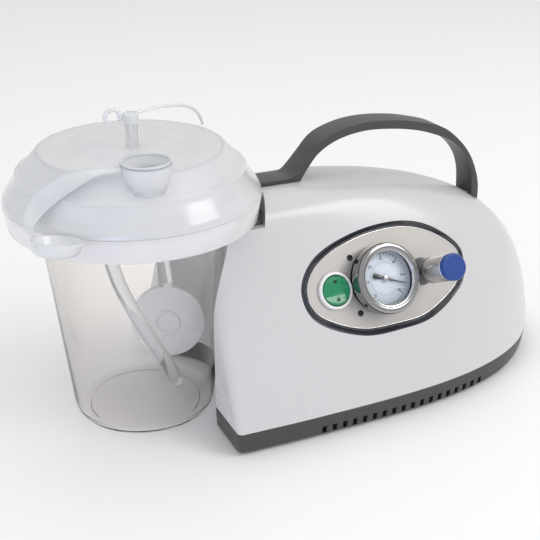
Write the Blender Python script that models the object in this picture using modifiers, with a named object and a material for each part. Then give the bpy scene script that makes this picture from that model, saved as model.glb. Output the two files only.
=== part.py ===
"""A portable suction pump: a lidded collection canister docked on a housing with a piston vacuum pump."""

import math

import bmesh
import bpy
from mathutils import Matrix, Vector

MM = 0.001

# All sizes below are in millimetres. X runs from the canister to the nose, -Y is the control side and
# Z is up. The build frame has X = 0 on the housing's flat left end and Z = 0 on the table.
# CENTRE_X is the middle of the whole object, where the finished part has its origin.
CENTRE_X = 73.5
GAP = 0.3

# housing
SEAM_Z = 15.3
TOP_Z = 132.5
HALF_WIDTH = 86.0
LEAN = math.radians(26.0)
TOP_RADIUS = 24.0
NOSE_X = 249.0
NOSE_START = 60.0
NOSE_Z = 20.0
SKIN = 2.6
SHELF_Z = 118.0

# canister and its bay
JAR_X = -28.0
JAR_TOP_RADIUS = 55.0
JAR_BASE_RADIUS = 43.5
JAR_WALL = 1.8
COLLAR_RADIUS = 73.8
COLLAR_Z = 124.4
LID_Z = 138.5
BAY_RADIUS = 57.0
BAY_TOP_RADIUS = 75.8

# base
BASE_Z = 1.2
FLOOR_Z = 5.0
FOOT_RADIUS = 7.0
FEET = ((30, -66), (30, 66), (185, -48), (185, 48))
VENTS = 18
VENT_PITCH = 6.85
VENT_START = 54.5
VENT_Z = 5.0

# control panel: its middle is under the gauge, and it leans and turns with the front face
PANEL_AT = (109.0, -49.6, 77.3)
PANEL_TURN = math.radians(3.0)
PANEL_LEDGE = -3.0
VALVE_PORT_Z = -14.0
SWITCH_AT = (-31.6, -0.7)
VALVE_AT = (31.0, -1.1)
PANEL_SCREWS = ((-17.2, 16.7), (-17.6, -17.5))
EGG = ((-55, 4), (-44, 20), (-14, 31), (22, 32), (44.5, 24), (62, 8),
       (62, -3), (58, -13), (30, -29.5), (6, -32), (-22, -30), (-51, -14))

# motor and pump
SHAFT_Z = 52.0
SHAFT_Y = 8.0
CRANK_X = 78.0
CRANK_THROW = 2.5
SILENCER_AT = (118.0, 47.0)
BORE = 17.0
PISTON = 14.0
CYLINDER_Z = 84.0
HEAD_Z = 106.0
PLATE_Z = 16.0
MOTOR_RADIUS = 30.0
MOUNTS = ((70, -18), (70, 34), (168, -18), (168, 34))

# lid fittings
CUP_AT = (-35.5, -51.0)
CUP_RIM_Z = 173.5
PORT_AT = (-32.0, -17.4)
PORT_TOP_Z = 186.5
CAP_AT = (-88.0, -63.9)
CAP_RIM_Z = 142.8
CAP_RADIUS = 13.4
CAP_TILT = math.radians(12.0)
DOCK_X = 37.0

# rear inlet
INLET_AT = (150.0, 40.0)

COLOURS = {
    "white": ((0.86, 0.86, 0.86), 0.25, 0.0), "dark": ((0.07, 0.07, 0.07), 0.5, 0.0),
    "clear": ((0.85, 0.83, 0.8), 0.1, 0.0), "frosted": ((0.8, 0.83, 0.88), 0.2, 0.0),
    "silver": ((0.62, 0.58, 0.54), 0.35, 0.6), "chrome": ((0.75, 0.75, 0.77), 0.12, 1.0),
    "green": ((0.0, 0.2, 0.08), 0.25, 0.0), "blue": ((0.02, 0.07, 0.35), 0.35, 0.0),
    "black": ((0.02, 0.02, 0.02), 0.4, 0.0), "dial": ((0.8, 0.85, 0.88), 0.5, 0.0),
    "rubber": ((0.03, 0.03, 0.03), 0.8, 0.0), "steel": ((0.45, 0.45, 0.46), 0.35, 1.0),
    "copper": ((0.6, 0.25, 0.12), 0.35, 1.0), "brass": ((0.6, 0.45, 0.2), 0.3, 1.0),
    "cast": ((0.5, 0.5, 0.5), 0.5, 0.9), "tube": ((0.75, 0.75, 0.72), 0.3, 0.0),
}


# ---------------------------------------------------------------- helpers
def clear_scene():
    for thing in list(bpy.data.objects):
        bpy.data.objects.remove(thing, do_unlink=True)


def new_collection(name, hidden):
    group = bpy.data.collections.new(name)
    bpy.context.scene.collection.children.link(group)
    group.hide_render = hidden
    return group


def material(colour):
    found = bpy.data.materials.get(colour)
    if found:
        return found
    made = bpy.data.materials.new(colour)
    made.use_nodes = True
    shade = made.node_tree.nodes["Principled BSDF"]
    rgb, roughness, metallic = COLOURS[colour]
    shade.inputs["Base Color"].default_value = (*rgb, 1.0)
    shade.inputs["Roughness"].default_value = roughness
    shade.inputs["Metallic"].default_value = metallic
    return made


def as_mesh(curve):
    """The curve object remade as a mesh, with its caps welded."""
    bpy.context.view_layer.update()
    graph = bpy.context.evaluated_depsgraph_get()
    mesh = bpy.data.meshes.new_from_object(curve.evaluated_get(graph))
    bm = bmesh.new()
    bm.from_mesh(mesh)
    bmesh.ops.remove_doubles(bm, verts=bm.verts, dist=1e-6)
    bm.to_mesh(mesh)
    bm.free()
    made = bpy.data.objects.new(curve.name, mesh)
    parts.objects.link(made)
    made.matrix_world = curve.matrix_world
    bpy.data.objects.remove(curve, do_unlink=True)
    return made


def adopt(obj, colour, parent):
    """Puts a new object in the model, under its parent, with its material."""
    parts.objects.link(obj)
    obj.parent = parent or root
    if colour:
        obj.data.materials.clear()
        obj.data.materials.append(material(colour))
    return obj


def empty(name, at, turn=None, parent=None):
    """A frame for other pieces: at in millimetres, turn a 3x3 matrix."""
    frame = bpy.data.objects.new(name, None)
    parts.objects.link(frame)
    frame.parent = parent or root
    frame.matrix_local = Matrix.Translation(Vector(at) * MM) @ (turn.to_4x4() if turn else Matrix())
    return frame


def facing(direction, up=(0, 0, 1)):
    """A turn whose Z runs along direction and whose Y is as near up as it can be."""
    z = Vector(direction).normalized()
    x = Vector(up).cross(z).normalized()
    return Matrix((x, z.cross(x), z)).transposed()


ALONG_X = facing((1, 0, 0))
UPRIGHT = Matrix.Identity(3)


def place(obj, at, turn):
    obj.matrix_local = Matrix.Translation(Vector(at) * MM) @ turn.to_4x4()
    return obj


def smooth(obj, angle=35):
    obj.data.shade_smooth()
    obj.data.set_sharp_from_angle(angle=math.radians(angle))
    return obj


def mesh_object(name, bm):
    mesh = bpy.data.meshes.new(name)
    bm.to_mesh(mesh)
    bm.free()
    return bpy.data.objects.new(name, mesh)


def box(name, size, at, colour=None, turn=UPRIGHT, parent=None, bevel=0.0):
    bm = bmesh.new()
    bmesh.ops.create_cube(bm, size=1.0)
    bmesh.ops.scale(bm, vec=Vector(size) * MM, verts=bm.verts)
    obj = adopt(mesh_object(name, bm), colour, parent)
    place(obj, at, turn)
    if bevel:
        rounding = obj.modifiers.new("edges", "BEVEL")
        rounding.width = bevel * MM
        rounding.segments = 2
    return obj


def rod(name, radius, length, at, colour=None, turn=UPRIGHT, parent=None, sides=20):
    bm = bmesh.new()
    bmesh.ops.create_cone(bm, cap_ends=True, segments=sides, radius1=radius * MM,
                          radius2=radius * MM, depth=length * MM)
    obj = adopt(mesh_object(name, bm), colour, parent)
    place(obj, at, turn)
    return smooth(obj)


def turned(name, profile, at, colour=None, turn=UPRIGHT, parent=None, steps=24, closed=False):
    """A profile of (radius, height) turned about Z. It runs down the outer side, top to bottom."""
    mesh = bpy.data.meshes.new(name)
    points = [(r * MM, 0, z * MM) for r, z in profile]
    edges = [(i, i + 1) for i in range(len(points) - 1)]
    if closed:
        edges.append((len(points) - 1, 0))
    mesh.from_pydata(points, edges, [])
    obj = adopt(bpy.data.objects.new(name, mesh), colour, parent)
    screw = obj.modifiers.new("turn", "SCREW")
    screw.steps = steps
    screw.render_steps = steps
    screw.use_merge_vertices = True
    screw.merge_threshold = 1e-5
    screw.use_smooth_shade = True
    place(obj, at, turn)
    return obj


def smooth_path(points, per_span):
    """A centripetal Catmull-Rom curve through the points."""
    inner = [Vector(p) for p in points]
    ends = [2 * inner[0] - inner[1], *inner, 2 * inner[-1] - inner[-2]]
    path = []
    for a, b, c, d in zip(ends, ends[1:], ends[2:], ends[3:]):
        before, span, after = [math.sqrt((q - p).length) for p, q in ((a, b), (b, c), (c, d))]
        slope_b = (c - b) + span * ((b - a) / before - (c - a) / (before + span))
        slope_c = (c - b) + span * ((d - c) / after - (d - b) / (span + after))
        for step in range(per_span):
            t = step / per_span
            path.append(b * (2 * t ** 3 - 3 * t ** 2 + 1) + slope_b * (t ** 3 - 2 * t ** 2 + t)
                        + c * (3 * t ** 2 - 2 * t ** 3) + slope_c * (t ** 3 - t ** 2))
    path.append(inner[-1])
    return path


def tube(name, points, radius, colour, parent=None, per_span=5, resolution=1):
    curve = bpy.data.curves.new(name, "CURVE")
    curve.dimensions = "3D"
    curve.bevel_depth = radius * MM
    curve.bevel_resolution = resolution
    curve.use_fill_caps = True
    path = smooth_path(points, per_span)
    spline = curve.splines.new("POLY")
    spline.points.add(len(path) - 1)
    for point, at in zip(spline.points, path):
        point.co = (*(at * MM), 1)
    return adopt(bpy.data.objects.new(name, curve), colour, parent)


def close_in_strips(bm, row):
    """Caps a ring that is symmetric about its middle point with strips across it."""
    last = len(row) - 1
    for i in range(last // 2 - 1):
        bm.faces.new((row[i], row[i + 1], row[last - i - 1], row[last - i]))
    middle = last // 2
    bm.faces.new((row[middle - 1], row[middle], row[middle + 1]))


def loft(name, rings, colour=None, parent=None, loop=False, strips=False):
    """Skins closed rings of equally many points, given in millimetres. A loop joins the last to the first."""
    bm = bmesh.new()
    rows = [[bm.verts.new(Vector(p) * MM) for p in ring] for ring in rings]
    pairs = list(zip(rows, rows[1:]))
    if loop:
        pairs.append((rows[-1], rows[0]))
    elif strips:
        close_in_strips(bm, rows[0])
        close_in_strips(bm, rows[-1])
    else:
        bm.faces.new(rows[0])
        bm.faces.new(rows[-1])
    for low, high in pairs:
        for i in range(len(low)):
            j = (i + 1) % len(low)
            bm.faces.new((low[i], low[j], high[j], high[i]))
    bmesh.ops.recalc_face_normals(bm, faces=bm.faces)
    return smooth(adopt(mesh_object(name, bm), colour, parent))


def plate(name, outline, low, high, colour=None, turn=UPRIGHT, at=(0, 0, 0), parent=None):
    """A flat outline of (x, y) points, solid from height low to high."""
    rings = [[(x, y, z) for x, y in outline] for z in (low, high)]
    obj = loft(name, rings, colour, parent)
    place(obj, at, turn)
    return obj


def combine(target, tool, operation="DIFFERENCE", solver="EXACT"):
    """Cuts or joins by a Boolean. The tool becomes a hidden cutter beside the model."""
    for old in list(tool.users_collection):
        old.objects.unlink(tool)
    cutters.objects.link(tool)
    tool.hide_render = True
    tool.display_type = "WIRE"
    step = target.modifiers.new(tool.name, "BOOLEAN")
    step.object = tool
    step.operation = operation
    step.solver = solver
    return target


def join(target, *tools):
    for tool in tools:
        combine(target, tool, "UNION")
    return target


def cut(target, *tools):
    for tool in tools:
        combine(target, tool)
    return target


# ---------------------------------------------------------------- housing shape
def nose_reach(z):
    """How far the housing reaches along X at height z."""
    if z <= NOSE_Z:
        return NOSE_X - 0.4 * (NOSE_Z - z)
    rise = min(1.0, (z - NOSE_Z) / (TOP_Z - NOSE_Z))
    return NOSE_START + (NOSE_X - NOSE_START) * (1 - rise ** 2.45) ** (1 / 2.45)


def side_width(z):
    """Half the housing's width where it is widest, at height z, below the rounded top."""
    return HALF_WIDTH - (z - SEAM_Z) * math.tan(LEAN)


def outline(z, half_width, inset):
    """The housing's plan at one height, counter-clockwise from the front left corner."""
    nose = nose_reach(z) - inset
    width = half_width - inset
    corner = min(3 + (z - SEAM_Z) * 0.09, 10, width - 1)
    start = max(NOSE_START, inset)
    side = []
    for degrees in (175, 135, 95):
        a = math.radians(degrees)
        side.append((inset + corner * (1 + math.cos(a)), width * 0.985 - corner * (1 - math.sin(a))))
    side.append((start * 0.55, width * 0.997))
    for step in range(10):
        t = math.sin(math.radians(9 * step))
        side.append((start + (nose - start) * t, width * math.sqrt(1 - t ** 3)))
    front = [(x, -y) for x, y in side]
    return front + [(nose, 0)] + [(x, y) for x, y in reversed(side)]


def housing_levels(inset):
    """(height once shrunk by inset, full-size height, half width) from the seam to the rounded top."""
    levels = [(z, side_width(z)) for z in (SEAM_Z, 30, 48, 66, 84, 102, 114)]
    centre_z = TOP_Z - TOP_RADIUS
    tangent_z = centre_z + TOP_RADIUS * math.sin(LEAN)
    centre_y = side_width(tangent_z) - TOP_RADIUS * math.cos(LEAN)
    for degrees in (26, 42, 58, 74, 90):
        a = math.radians(degrees)
        levels.append((centre_z + TOP_RADIUS * math.sin(a), centre_y + TOP_RADIUS * math.cos(a)))
    scale = (TOP_Z - inset - SEAM_Z) / (TOP_Z - SEAM_Z)
    return [(SEAM_Z + (z - SEAM_Z) * scale, z, width) for z, width in levels]


def housing_core(name, inset, bottom=SEAM_Z):
    """The housing as a solid, shrunk by inset."""
    rings = []
    for z, level, width in housing_levels(inset):
        flat = outline(level, width, inset)
        rings.append([(x, y, bottom if z == SEAM_Z else z) for x, y in flat])
    return loft(name, rings)


def skin_height(u, v, frame):
    """How far the housing's face lies above the panel's plane at (u, v)."""
    low, high = -30.0, 30.0
    for _ in range(30):
        middle = (low + high) / 2
        x, y, z = frame @ Vector((u, v, middle))
        t = max(0.0, (x - NOSE_START) / (nose_reach(z) - NOSE_START))
        if -y < side_width(z) * math.sqrt(max(0.0, 1 - t ** 3)):
            low = middle
        else:
            high = middle
    return low


def base_rise(x):
    """The base's underside lifts towards the nose, like a boat's."""
    return 9.0 * max(0.0, (x - 185) / 62) ** 2


def shell_and_base():
    shell = housing_core("housing_shell", 0.0)
    shell.data.materials.append(material("white"))
    bay = rod("bay_cut", BAY_RADIUS, 400, (JAR_X, 0, 60), sides=40)
    bay_top = rod("bay_top_cut", BAY_TOP_RADIUS, 60, (JAR_X, 0, SHELF_Z + 30), sides=40)
    hollow = housing_core("hollow_cut", SKIN, SEAM_Z - 5)
    cut(hollow, rod("bay_wall", BAY_RADIUS + SKIN, 400, (JAR_X, 0, 60), sides=40),
        rod("bay_top_wall", BAY_TOP_RADIUS + SKIN, 60, (JAR_X, 0, SHELF_Z - SKIN + 30), sides=40))
    cut(shell, bay, bay_top, hollow)

    top = outline(SEAM_Z, side_width(SEAM_Z), 0.0)
    rim = [(x, y, SEAM_Z - GAP) for x, y in top]
    band = [(x, y, SEAM_Z - 3.0) for x, y in top]
    knee = [(x, y, BASE_Z + 2.2 + base_rise(x)) for x, y in outline(SEAM_Z, side_width(SEAM_Z) - 0.6, 0.5)]
    sole = [(x, y, BASE_Z + base_rise(x)) for x, y in outline(SEAM_Z, side_width(SEAM_Z) - 3.0, 2.0)]
    base = loft("base_pan", [sole, knee, band, rim], "dark", strips=True)
    inner = outline(SEAM_Z, side_width(SEAM_Z) - 3.0, 5.0)
    tray = loft("tray_cut", [[(x, y, FLOOR_Z + base_rise(x)) for x, y in inner],
                             [(x, y, SEAM_Z + 5) for x, y in inner]], strips=True)
    cut(tray, rod("tray_bay", BAY_RADIUS + 3, 60, (JAR_X, 0, 10), sides=40))
    base_bay = rod("base_bay_cut", BAY_RADIUS, 60, (JAR_X, 0, 10), sides=40)
    cut(base, base_bay, tray)
    slots = bmesh.new()
    for step in range(VENTS):
        x = VENT_START + step * VENT_PITCH
        for side in (-1, 1):
            made = bmesh.ops.create_cube(slots, size=1.0)
            bmesh.ops.scale(slots, vec=Vector((3.0, 24.0, 5.0)) * MM, verts=made["verts"])
            t = max(0.0, (x - NOSE_START) / (NOSE_X - NOSE_START))
            y = side * side_width(SEAM_Z) * math.sqrt(1 - t ** 3)
            bmesh.ops.translate(slots, vec=Vector((x, y, VENT_Z + base_rise(x))) * MM, verts=made["verts"])
    vents = adopt(mesh_object("vent_cut", slots), None, None)
    cut(base, vents)
    for number, (x, y) in enumerate(FEET, 1):
        pocket = rod(f"foot_pocket_{number}", FOOT_RADIUS + GAP, 4.0, (x, y, 1.0), sides=24)
        cut(base, pocket)
        turned(f"rubber_foot_{number}", [(0, 2.7), (FOOT_RADIUS, 2.7), (FOOT_RADIUS, 0.6),
                                         (FOOT_RADIUS - 0.6, 0), (0, 0)], (x, y, 0), "rubber", steps=24)


def bay_insert():
    """The dark shelf under the collar, with the rubber seat that joins the canister to the pump."""
    shelf = rod("canister_bay", BAY_TOP_RADIUS - 1.2, 2.4, (JAR_X, 0, SHELF_Z + GAP + 1.2), "dark", sides=40)
    cut(shelf, rod("shelf_hole", BAY_RADIUS + 0.6, 20, (JAR_X, 0, SHELF_Z), sides=40))
    combine(shelf, housing_core("shelf_bound", 3.2), "INTERSECT")
    cut(shelf, rod("dock_hole", 5.3, 20, (DOCK_X, 0, SHELF_Z), sides=24))
    cut(bpy.data.objects["housing_shell"], rod("dock_shell_hole", 5.3, 20, (DOCK_X, 0, SHELF_Z), sides=24))
    seat = [(2.0, 124.0), (5.2, 124.0), (7.2, 121.2), (5.0, 121.0), (5.0, 112.0), (2.0, 112.0)]
    turned("dock_seal", seat, (DOCK_X, 0, 0), "rubber", steps=24, closed=True)


def handle():
    outer = [(47.5, 135.2), (60, 135.2), (69, 135.8), (74.5, 140.5), (79.8, 146.3), (89.5, 156.3), (104, 161.9),
             (121, 164), (143.5, 162.4), (160.5, 158.9), (177, 153.4), (189.8, 143.4), (198.2, 133.3),
             (203.6, 122.5), (206.8, 111.2), (207.2, 92)]
    inner = [(202, 92), (202, 105), (200.8, 119), (197.3, 129.2), (190.2, 138.6), (181.5, 144.9), (169.5, 150.2),
             (157.6, 154.1), (140, 157.4), (117.5, 158.7), (98.5, 155), (86.5, 148.2), (80, 140.5), (73.5, 131)]
    rise = smooth_path([(*p, 0) for p in outer[1:]], 2)
    back = smooth_path([(*p, 0) for p in inner], 2)
    side = [outer[0], *[(p.x, p.y) for p in rise], *[(p.x, p.y) for p in back], (47.5, 128)]
    # the outline is drawn flat, then stood up so that its Y becomes Z
    stand = Matrix(((1, 0, 0), (0, 0, -1), (0, 1, 0)))
    grip = plate("carry_handle", side, -9, 9, "dark", stand)
    rounding = grip.modifiers.new("edges", "BEVEL")
    rounding.width = 1.0 * MM
    rounding.segments = 2
    rounding.limit_method = "ANGLE"
    rounding.angle_limit = math.radians(50)
    cut(grip, housing_core("handle_seat", -GAP))
    cut(grip, rod("handle_bay", BAY_TOP_RADIUS, 60, (JAR_X, 0, SHELF_Z + 30), sides=40))


# ---------------------------------------------------------------- control panel
def egg(offset_left, offset_right):
    """The panel's egg outline moved inwards, more at its left than at its right."""
    loop = smooth_path([(*p, 0) for p in (EGG[-1], *EGG, EGG[0], EGG[1])], 3)[3:-4]
    moved = []
    for i, p in enumerate(loop):
        run = loop[(i + 1) % len(loop)] - loop[i - 1]
        inward = Vector((run.y, -run.x, 0)).normalized()
        share = (p.x + 55) / 117
        moved.append(p + inward * (offset_left * (1 - share) + offset_right * share))
    return moved


def control_panel():
    normal = (math.sin(PANEL_TURN) * math.cos(LEAN), -math.cos(PANEL_TURN) * math.cos(LEAN), math.sin(LEAN))
    turn = facing(normal)
    panel = empty("panel_frame", PANEL_AT, turn)
    frame = Matrix.Translation(Vector(PANEL_AT)) @ turn.to_4x4()

    hole = plate("panel_cut", [(p.x, p.y) for p in egg(-GAP, -GAP)], -14, 20, turn=turn, at=PANEL_AT)
    cut(bpy.data.objects["housing_shell"], hole)

    edge = egg(0, 0)
    lip = egg(4.6, 1.6)
    ledge = egg(7.0, 4.0)
    rings = [
        [(p.x, p.y, skin_height(p.x, p.y, frame) - 0.2) for p in edge],
        [(p.x, p.y, 0.0) for p in lip],
        [(p.x, p.y, PANEL_LEDGE) for p in lip],
        [(p.x, p.y, PANEL_LEDGE) for p in ledge],
        [(p.x, p.y, PANEL_LEDGE - 1.6) for p in ledge],
        [(p.x, p.y, PANEL_LEDGE - 1.6) for p in edge],
    ]
    loft("panel_bezel", rings, "dark", panel, loop=True)
    face = plate("panel_plate", [(p.x, p.y) for p in egg(4.9, 1.9)], PANEL_LEDGE + GAP, -0.3, "silver",
                 parent=panel)
    holes = [("gauge", (0, 0), 20.2), ("switch", SWITCH_AT, 10.2), ("valve", VALVE_AT, 5.2)]
    holes += [(f"screw_{n}", at, 1.3) for n, at in enumerate(PANEL_SCREWS, 1)]
    for name, (u, v), radius in holes:
        cut(face, rod(f"{name}_hole", radius, 12, (u, v, -1.5), parent=panel, sides=32 if radius > 6 else 16))
    for number, (u, v) in enumerate(PANEL_SCREWS, 1):
        turned(f"panel_screw_{number}", [(0, 0.5), (1.4, 0.4), (1.9, 0.1), (1.9, 0.0), (1.0, 0.0), (1.0, -6),
                                         (0, -6)], (u, v, 0), "steel", parent=panel, steps=16)
    gauge(panel)
    power_switch(panel)
    regulator(panel)
    return frame


def gauge(panel):
    case = [(0, 4.6), (18.8, 4.6), (18.8, 10.2), (19.6, 10.2), (19.6, -9), (14, -11), (5, -11), (5, -20),
            (0, -20)]
    turned("gauge_case", case, (0, 0, 0), "black", parent=panel)
    bezel = [(19.0, 12.9), (20.9, 12.7), (21.7, 11.6), (21.7, 4.0), (20.0, 4.0), (20.0, 10.6), (17.2, 10.6),
             (17.2, 12.2)]
    turned("gauge_bezel", bezel, (0, 0, 0), "chrome", parent=panel, steps=32, closed=True)
    turned("gauge_dial", [(0.9, 5.8), (18.4, 5.8), (18.4, 4.9), (0.9, 4.9)], (0, 0, 0), "dial",
           parent=panel, closed=True)
    turned("gauge_lens", [(0, 10.2), (18.4, 10.2), (18.4, 9.0), (0, 9.0)], (0, 0, 0), "clear", parent=panel)
    needle_axis = empty("needle_axis", (0, 0, 0), parent=panel)
    # the pointer lies towards the lower right, and its wide tail towards the upper left
    aim = Matrix.Rotation(math.radians(-22), 3, "Z")
    pointer = [(14.5, 0.25), (0, 0.8), (-3, 0.9), (-8.5, 1.7), (-8.5, -1.7), (-3, -0.9), (0, -0.8), (14.5, -0.25)]
    needle = plate("gauge_needle", pointer[::-1], 6.6, 7.2, "black", aim, parent=needle_axis)
    join(needle, rod("needle_hub", 2.0, 1.8, (0, 0, 7.2), parent=needle_axis, sides=16))


def power_switch(panel):
    ring = [(9.6, 2.2), (10.6, 2.2), (11.5, 1.2), (11.5, 0.1), (9.9, 0.1), (9.9, -16), (8.0, -16), (8.0, -8),
            (9.6, -4)]
    turned("switch_bezel", ring, (*SWITCH_AT, 0), "white", parent=panel, closed=True)
    axis = empty("rocker_axis", (*SWITCH_AT, -1.5), parent=panel)
    cap = turned("switch_rocker", [(0, 4.2), (7.6, 4.2), (8.9, 3.2), (8.9, -0.8), (6.0, -3.0), (0, -3.0)],
                 (0, 0, 0), "green", parent=axis)
    # the cap is scooped so that either end can be pressed
    scoop = rod("rocker_scoop", 30, 30, (0, 0, 33.2), turn=ALONG_X, parent=axis, sides=96)
    cut(cap, scoop)


def regulator(panel):
    u, v = VALVE_AT
    body = [(0, -19.4), (2.4, -19.4), (2.4, 6.0), (6.2, 6.0), (6.2, 0.2), (5.0, 0.2), (5.0, -6), (8.5, -6),
            (8.5, -21), (0, -21)]
    valve = turned("regulator_valve", body, (u, v, 0), "dark", parent=panel)
    upright = facing((0, 1, 0), (0, 0, 1))
    for name, side in (("inlet_port", -11), ("outlet_port", 11)):
        join(valve, rod(name, 2.8, 8, (u, v + side, VALVE_PORT_Z), turn=upright, parent=panel, sides=12))
    join(valve, rod("gauge_port", 2.0, 8, (u - 11, v, VALVE_PORT_Z), turn=ALONG_X, parent=panel, sides=12))
    axis = empty("knob_axis", (u, v, 0), parent=panel)
    knob = [(0, 33.0), (5.6, 33.0), (5.6, 31.5), (8.2, 31.5), (8.2, 12.5), (7.4, 11.2), (6.6, 6.6), (2.1, 6.6),
            (2.1, -18), (0, -18)]
    turned("regulator_knob", knob, (0, 0, 0), "silver", parent=axis)
    turned("knob_cap", [(0, 35.8), (7.6, 35.8), (8.3, 35.1), (8.3, 31.8), (5.9, 31.8), (5.9, 33.3), (0, 33.3)],
           (0, 0, 0), "blue", parent=axis)


# ---------------------------------------------------------------- pump inside the housing
def pump():
    plate_top = PLATE_Z + 2.5
    box("mount_plate", (116, 66, 2.5), (119, SHAFT_Y, PLATE_Z + 1.25), "steel")
    for number, (x, y) in enumerate(MOUNTS, 1):
        turned(f"vibration_mount_{number}", [(0, PLATE_Z - GAP), (7, PLATE_Z - GAP), (5, 10.5),
                                             (7, FLOOR_Z + GAP), (0, FLOOR_Z + GAP)],
               (x, y, 0), "rubber", steps=16)

    case_height = CYLINDER_Z - 3.0 - plate_top - GAP
    case_middle = plate_top + GAP + case_height / 2
    crankcase = box("crankcase", (36, 46, case_height), (CRANK_X + 3, SHAFT_Y, case_middle), "cast")
    inside = box("crankcase_cut", (36, 38, case_height), (CRANK_X - 1, SHAFT_Y, case_middle + 4))
    shaft_hole = rod("shaft_hole", 7.3, 30, (CRANK_X + 20, SHAFT_Y, SHAFT_Z), turn=ALONG_X)
    cut(crankcase, inside, shaft_hole)

    spin = empty("shaft_axis", (CRANK_X, SHAFT_Y, SHAFT_Z), ALONG_X)
    # the shaft carries the crank at its low end, the rotor in the middle and the fan at its far end
    body = [(0, 112), (4, 112), (4, 76), (19, 76), (19, 41), (4, 41), (4, 10.5), (0, 10.5)]
    turned("rotor_shaft", body, (0, 0, 0), "steel", parent=spin, steps=24)
    disc = rod("crank", 11, 6, (0, 0, 7), "steel", parent=spin)
    join(disc, rod("crank_pin", 4, 10, (0, CRANK_THROW, 1), parent=spin, sides=16))
    fan_outline = []
    for blade in range(7):
        for turn_by, radius in ((0, 10), (8, 27), (26, 27), (34, 10)):
            a = math.radians(blade * 360 / 7 + turn_by)
            fan_outline.append((radius * math.cos(a), radius * math.sin(a)))
    fan = plate("cooling_fan", fan_outline, 98, 108, "black", parent=spin)
    cut(fan, rod("fan_bore", 4.3, 30, (0, 0, 103), parent=spin))

    crown_z = CYLINDER_Z + 10
    pin_z = SHAFT_Z + CRANK_THROW
    link = rod("connecting_rod", 8.5, 5, (CRANK_X, SHAFT_Y, pin_z), "cast", turn=ALONG_X)
    join(link, box("rod_shank", (4.4, 8, crown_z - pin_z - 5), (CRANK_X, SHAFT_Y, (crown_z + pin_z + 6) / 2)),
         rod("piston_crown", PISTON, 5, (CRANK_X, SHAFT_Y, crown_z + 2), sides=32))
    cut(link, rod("rod_eye", 4.3, 20, (CRANK_X, SHAFT_Y, pin_z), turn=ALONG_X, sides=16))

    top, low = HEAD_Z - 3.6, CYLINDER_Z - 2.4
    turned("cylinder", [(BORE, top), (BORE + 3, top), (BORE + 3, low), (BORE, low)],
           (CRANK_X, SHAFT_Y, 0), "cast", closed=True)
    box("valve_plate", (40, 40, 3), (CRANK_X, SHAFT_Y, HEAD_Z - 1.8), "steel", bevel=2)
    head = box("cylinder_head", (40, 40, 9), (CRANK_X, SHAFT_Y, HEAD_Z + 4.5), "cast", bevel=2)
    for name, side in (("suction_nipple", -10), ("exhaust_nipple", 10)):
        at = (CRANK_X + 22, SHAFT_Y + side, HEAD_Z + 4.5)
        join(head, rod(name, 3, 12, at, turn=ALONG_X, sides=16))

    stator = [(20, 75), (MOTOR_RADIUS, 75), (MOTOR_RADIUS, 42), (20, 42)]
    turned("stator_core", stator, (0, 0, 0), "steel", parent=spin, closed=True)
    for name, low in (("winding_front", 33.5), ("winding_rear", 75.5)):
        coil = [(21, low + 8), (26, low + 8), (28, low + 5), (28, low), (21, low)]
        turned(name, coil, (0, 0, 0), "copper", parent=spin, closed=True, steps=24)
    for name, along in (("bearing_bracket_front", 28), ("bearing_bracket_rear", 89)):
        at = (CRANK_X + along, SHAFT_Y, SHAFT_Z)
        bracket = rod(name, MOTOR_RADIUS, 3, at, "cast", turn=ALONG_X)
        leg_at = (CRANK_X + along, SHAFT_Y, plate_top + GAP + 12)
        join(bracket, rod(f"{name}_hub", 9, 8, at, turn=ALONG_X), box(f"{name}_leg", (2.6, 36, 24), leg_at))
        cut(bracket, rod(f"{name}_bore", 4.3, 30, at, turn=ALONG_X))
    silencer = [(0, 40), (9, 40), (9, 8), (3, 6), (3, -2), (0, -2)]
    turned("exhaust_silencer", silencer, (*SILENCER_AT, 20), "black", steps=20)


def air_lines(frame):
    """The hoses between the dock, the regulator, the gauge, the cylinder head and the silencer."""
    u, v = VALVE_AT

    def panel_point(across, up, out):
        return tuple(frame @ Vector((across, up, out)))

    dock = [(DOCK_X, 0, 110.5), (DOCK_X, -2, 100), (43, -22, 80), (58, -42, 52), (90, -50, 40), (122, -48, 42),
            panel_point(u, v - 24, VALVE_PORT_Z), panel_point(u, v - 15.4, VALVE_PORT_Z)]
    tube("dock_hose", dock, 3.4, "tube", per_span=3)
    start = CRANK_X + 28.4
    suction = [panel_point(u, v + 15.4, VALVE_PORT_Z), panel_point(u, v + 24, VALVE_PORT_Z), (130, -14, 106),
               (start + 9, SHAFT_Y - 10, HEAD_Z + 4.5), (start, SHAFT_Y - 10, HEAD_Z + 4.5)]
    tube("suction_hose", suction, 3.4, "tube", per_span=3)
    x, y = SILENCER_AT
    exhaust = [(start, SHAFT_Y + 10, HEAD_Z + 4.5), (start + 8, SHAFT_Y + 10, HEAD_Z + 4.5), (x + 1, y - 16, 96),
               (x, y - 4, 80), (x, y, 70), (x, y, 60.5)]
    tube("exhaust_hose", exhaust, 3.4, "tube", per_span=3)
    pressure = [panel_point(0, 0, -20.5), panel_point(0.2, 0, -23.5), panel_point(5, -0.5, -25),
                panel_point(8.5, -0.8, -18.5), panel_point(11, v, VALVE_PORT_Z - 0.3),
                panel_point(u - 15.5, v, VALVE_PORT_Z)]
    tube("gauge_hose", pressure, 2.2, "tube", per_span=3)


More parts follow.
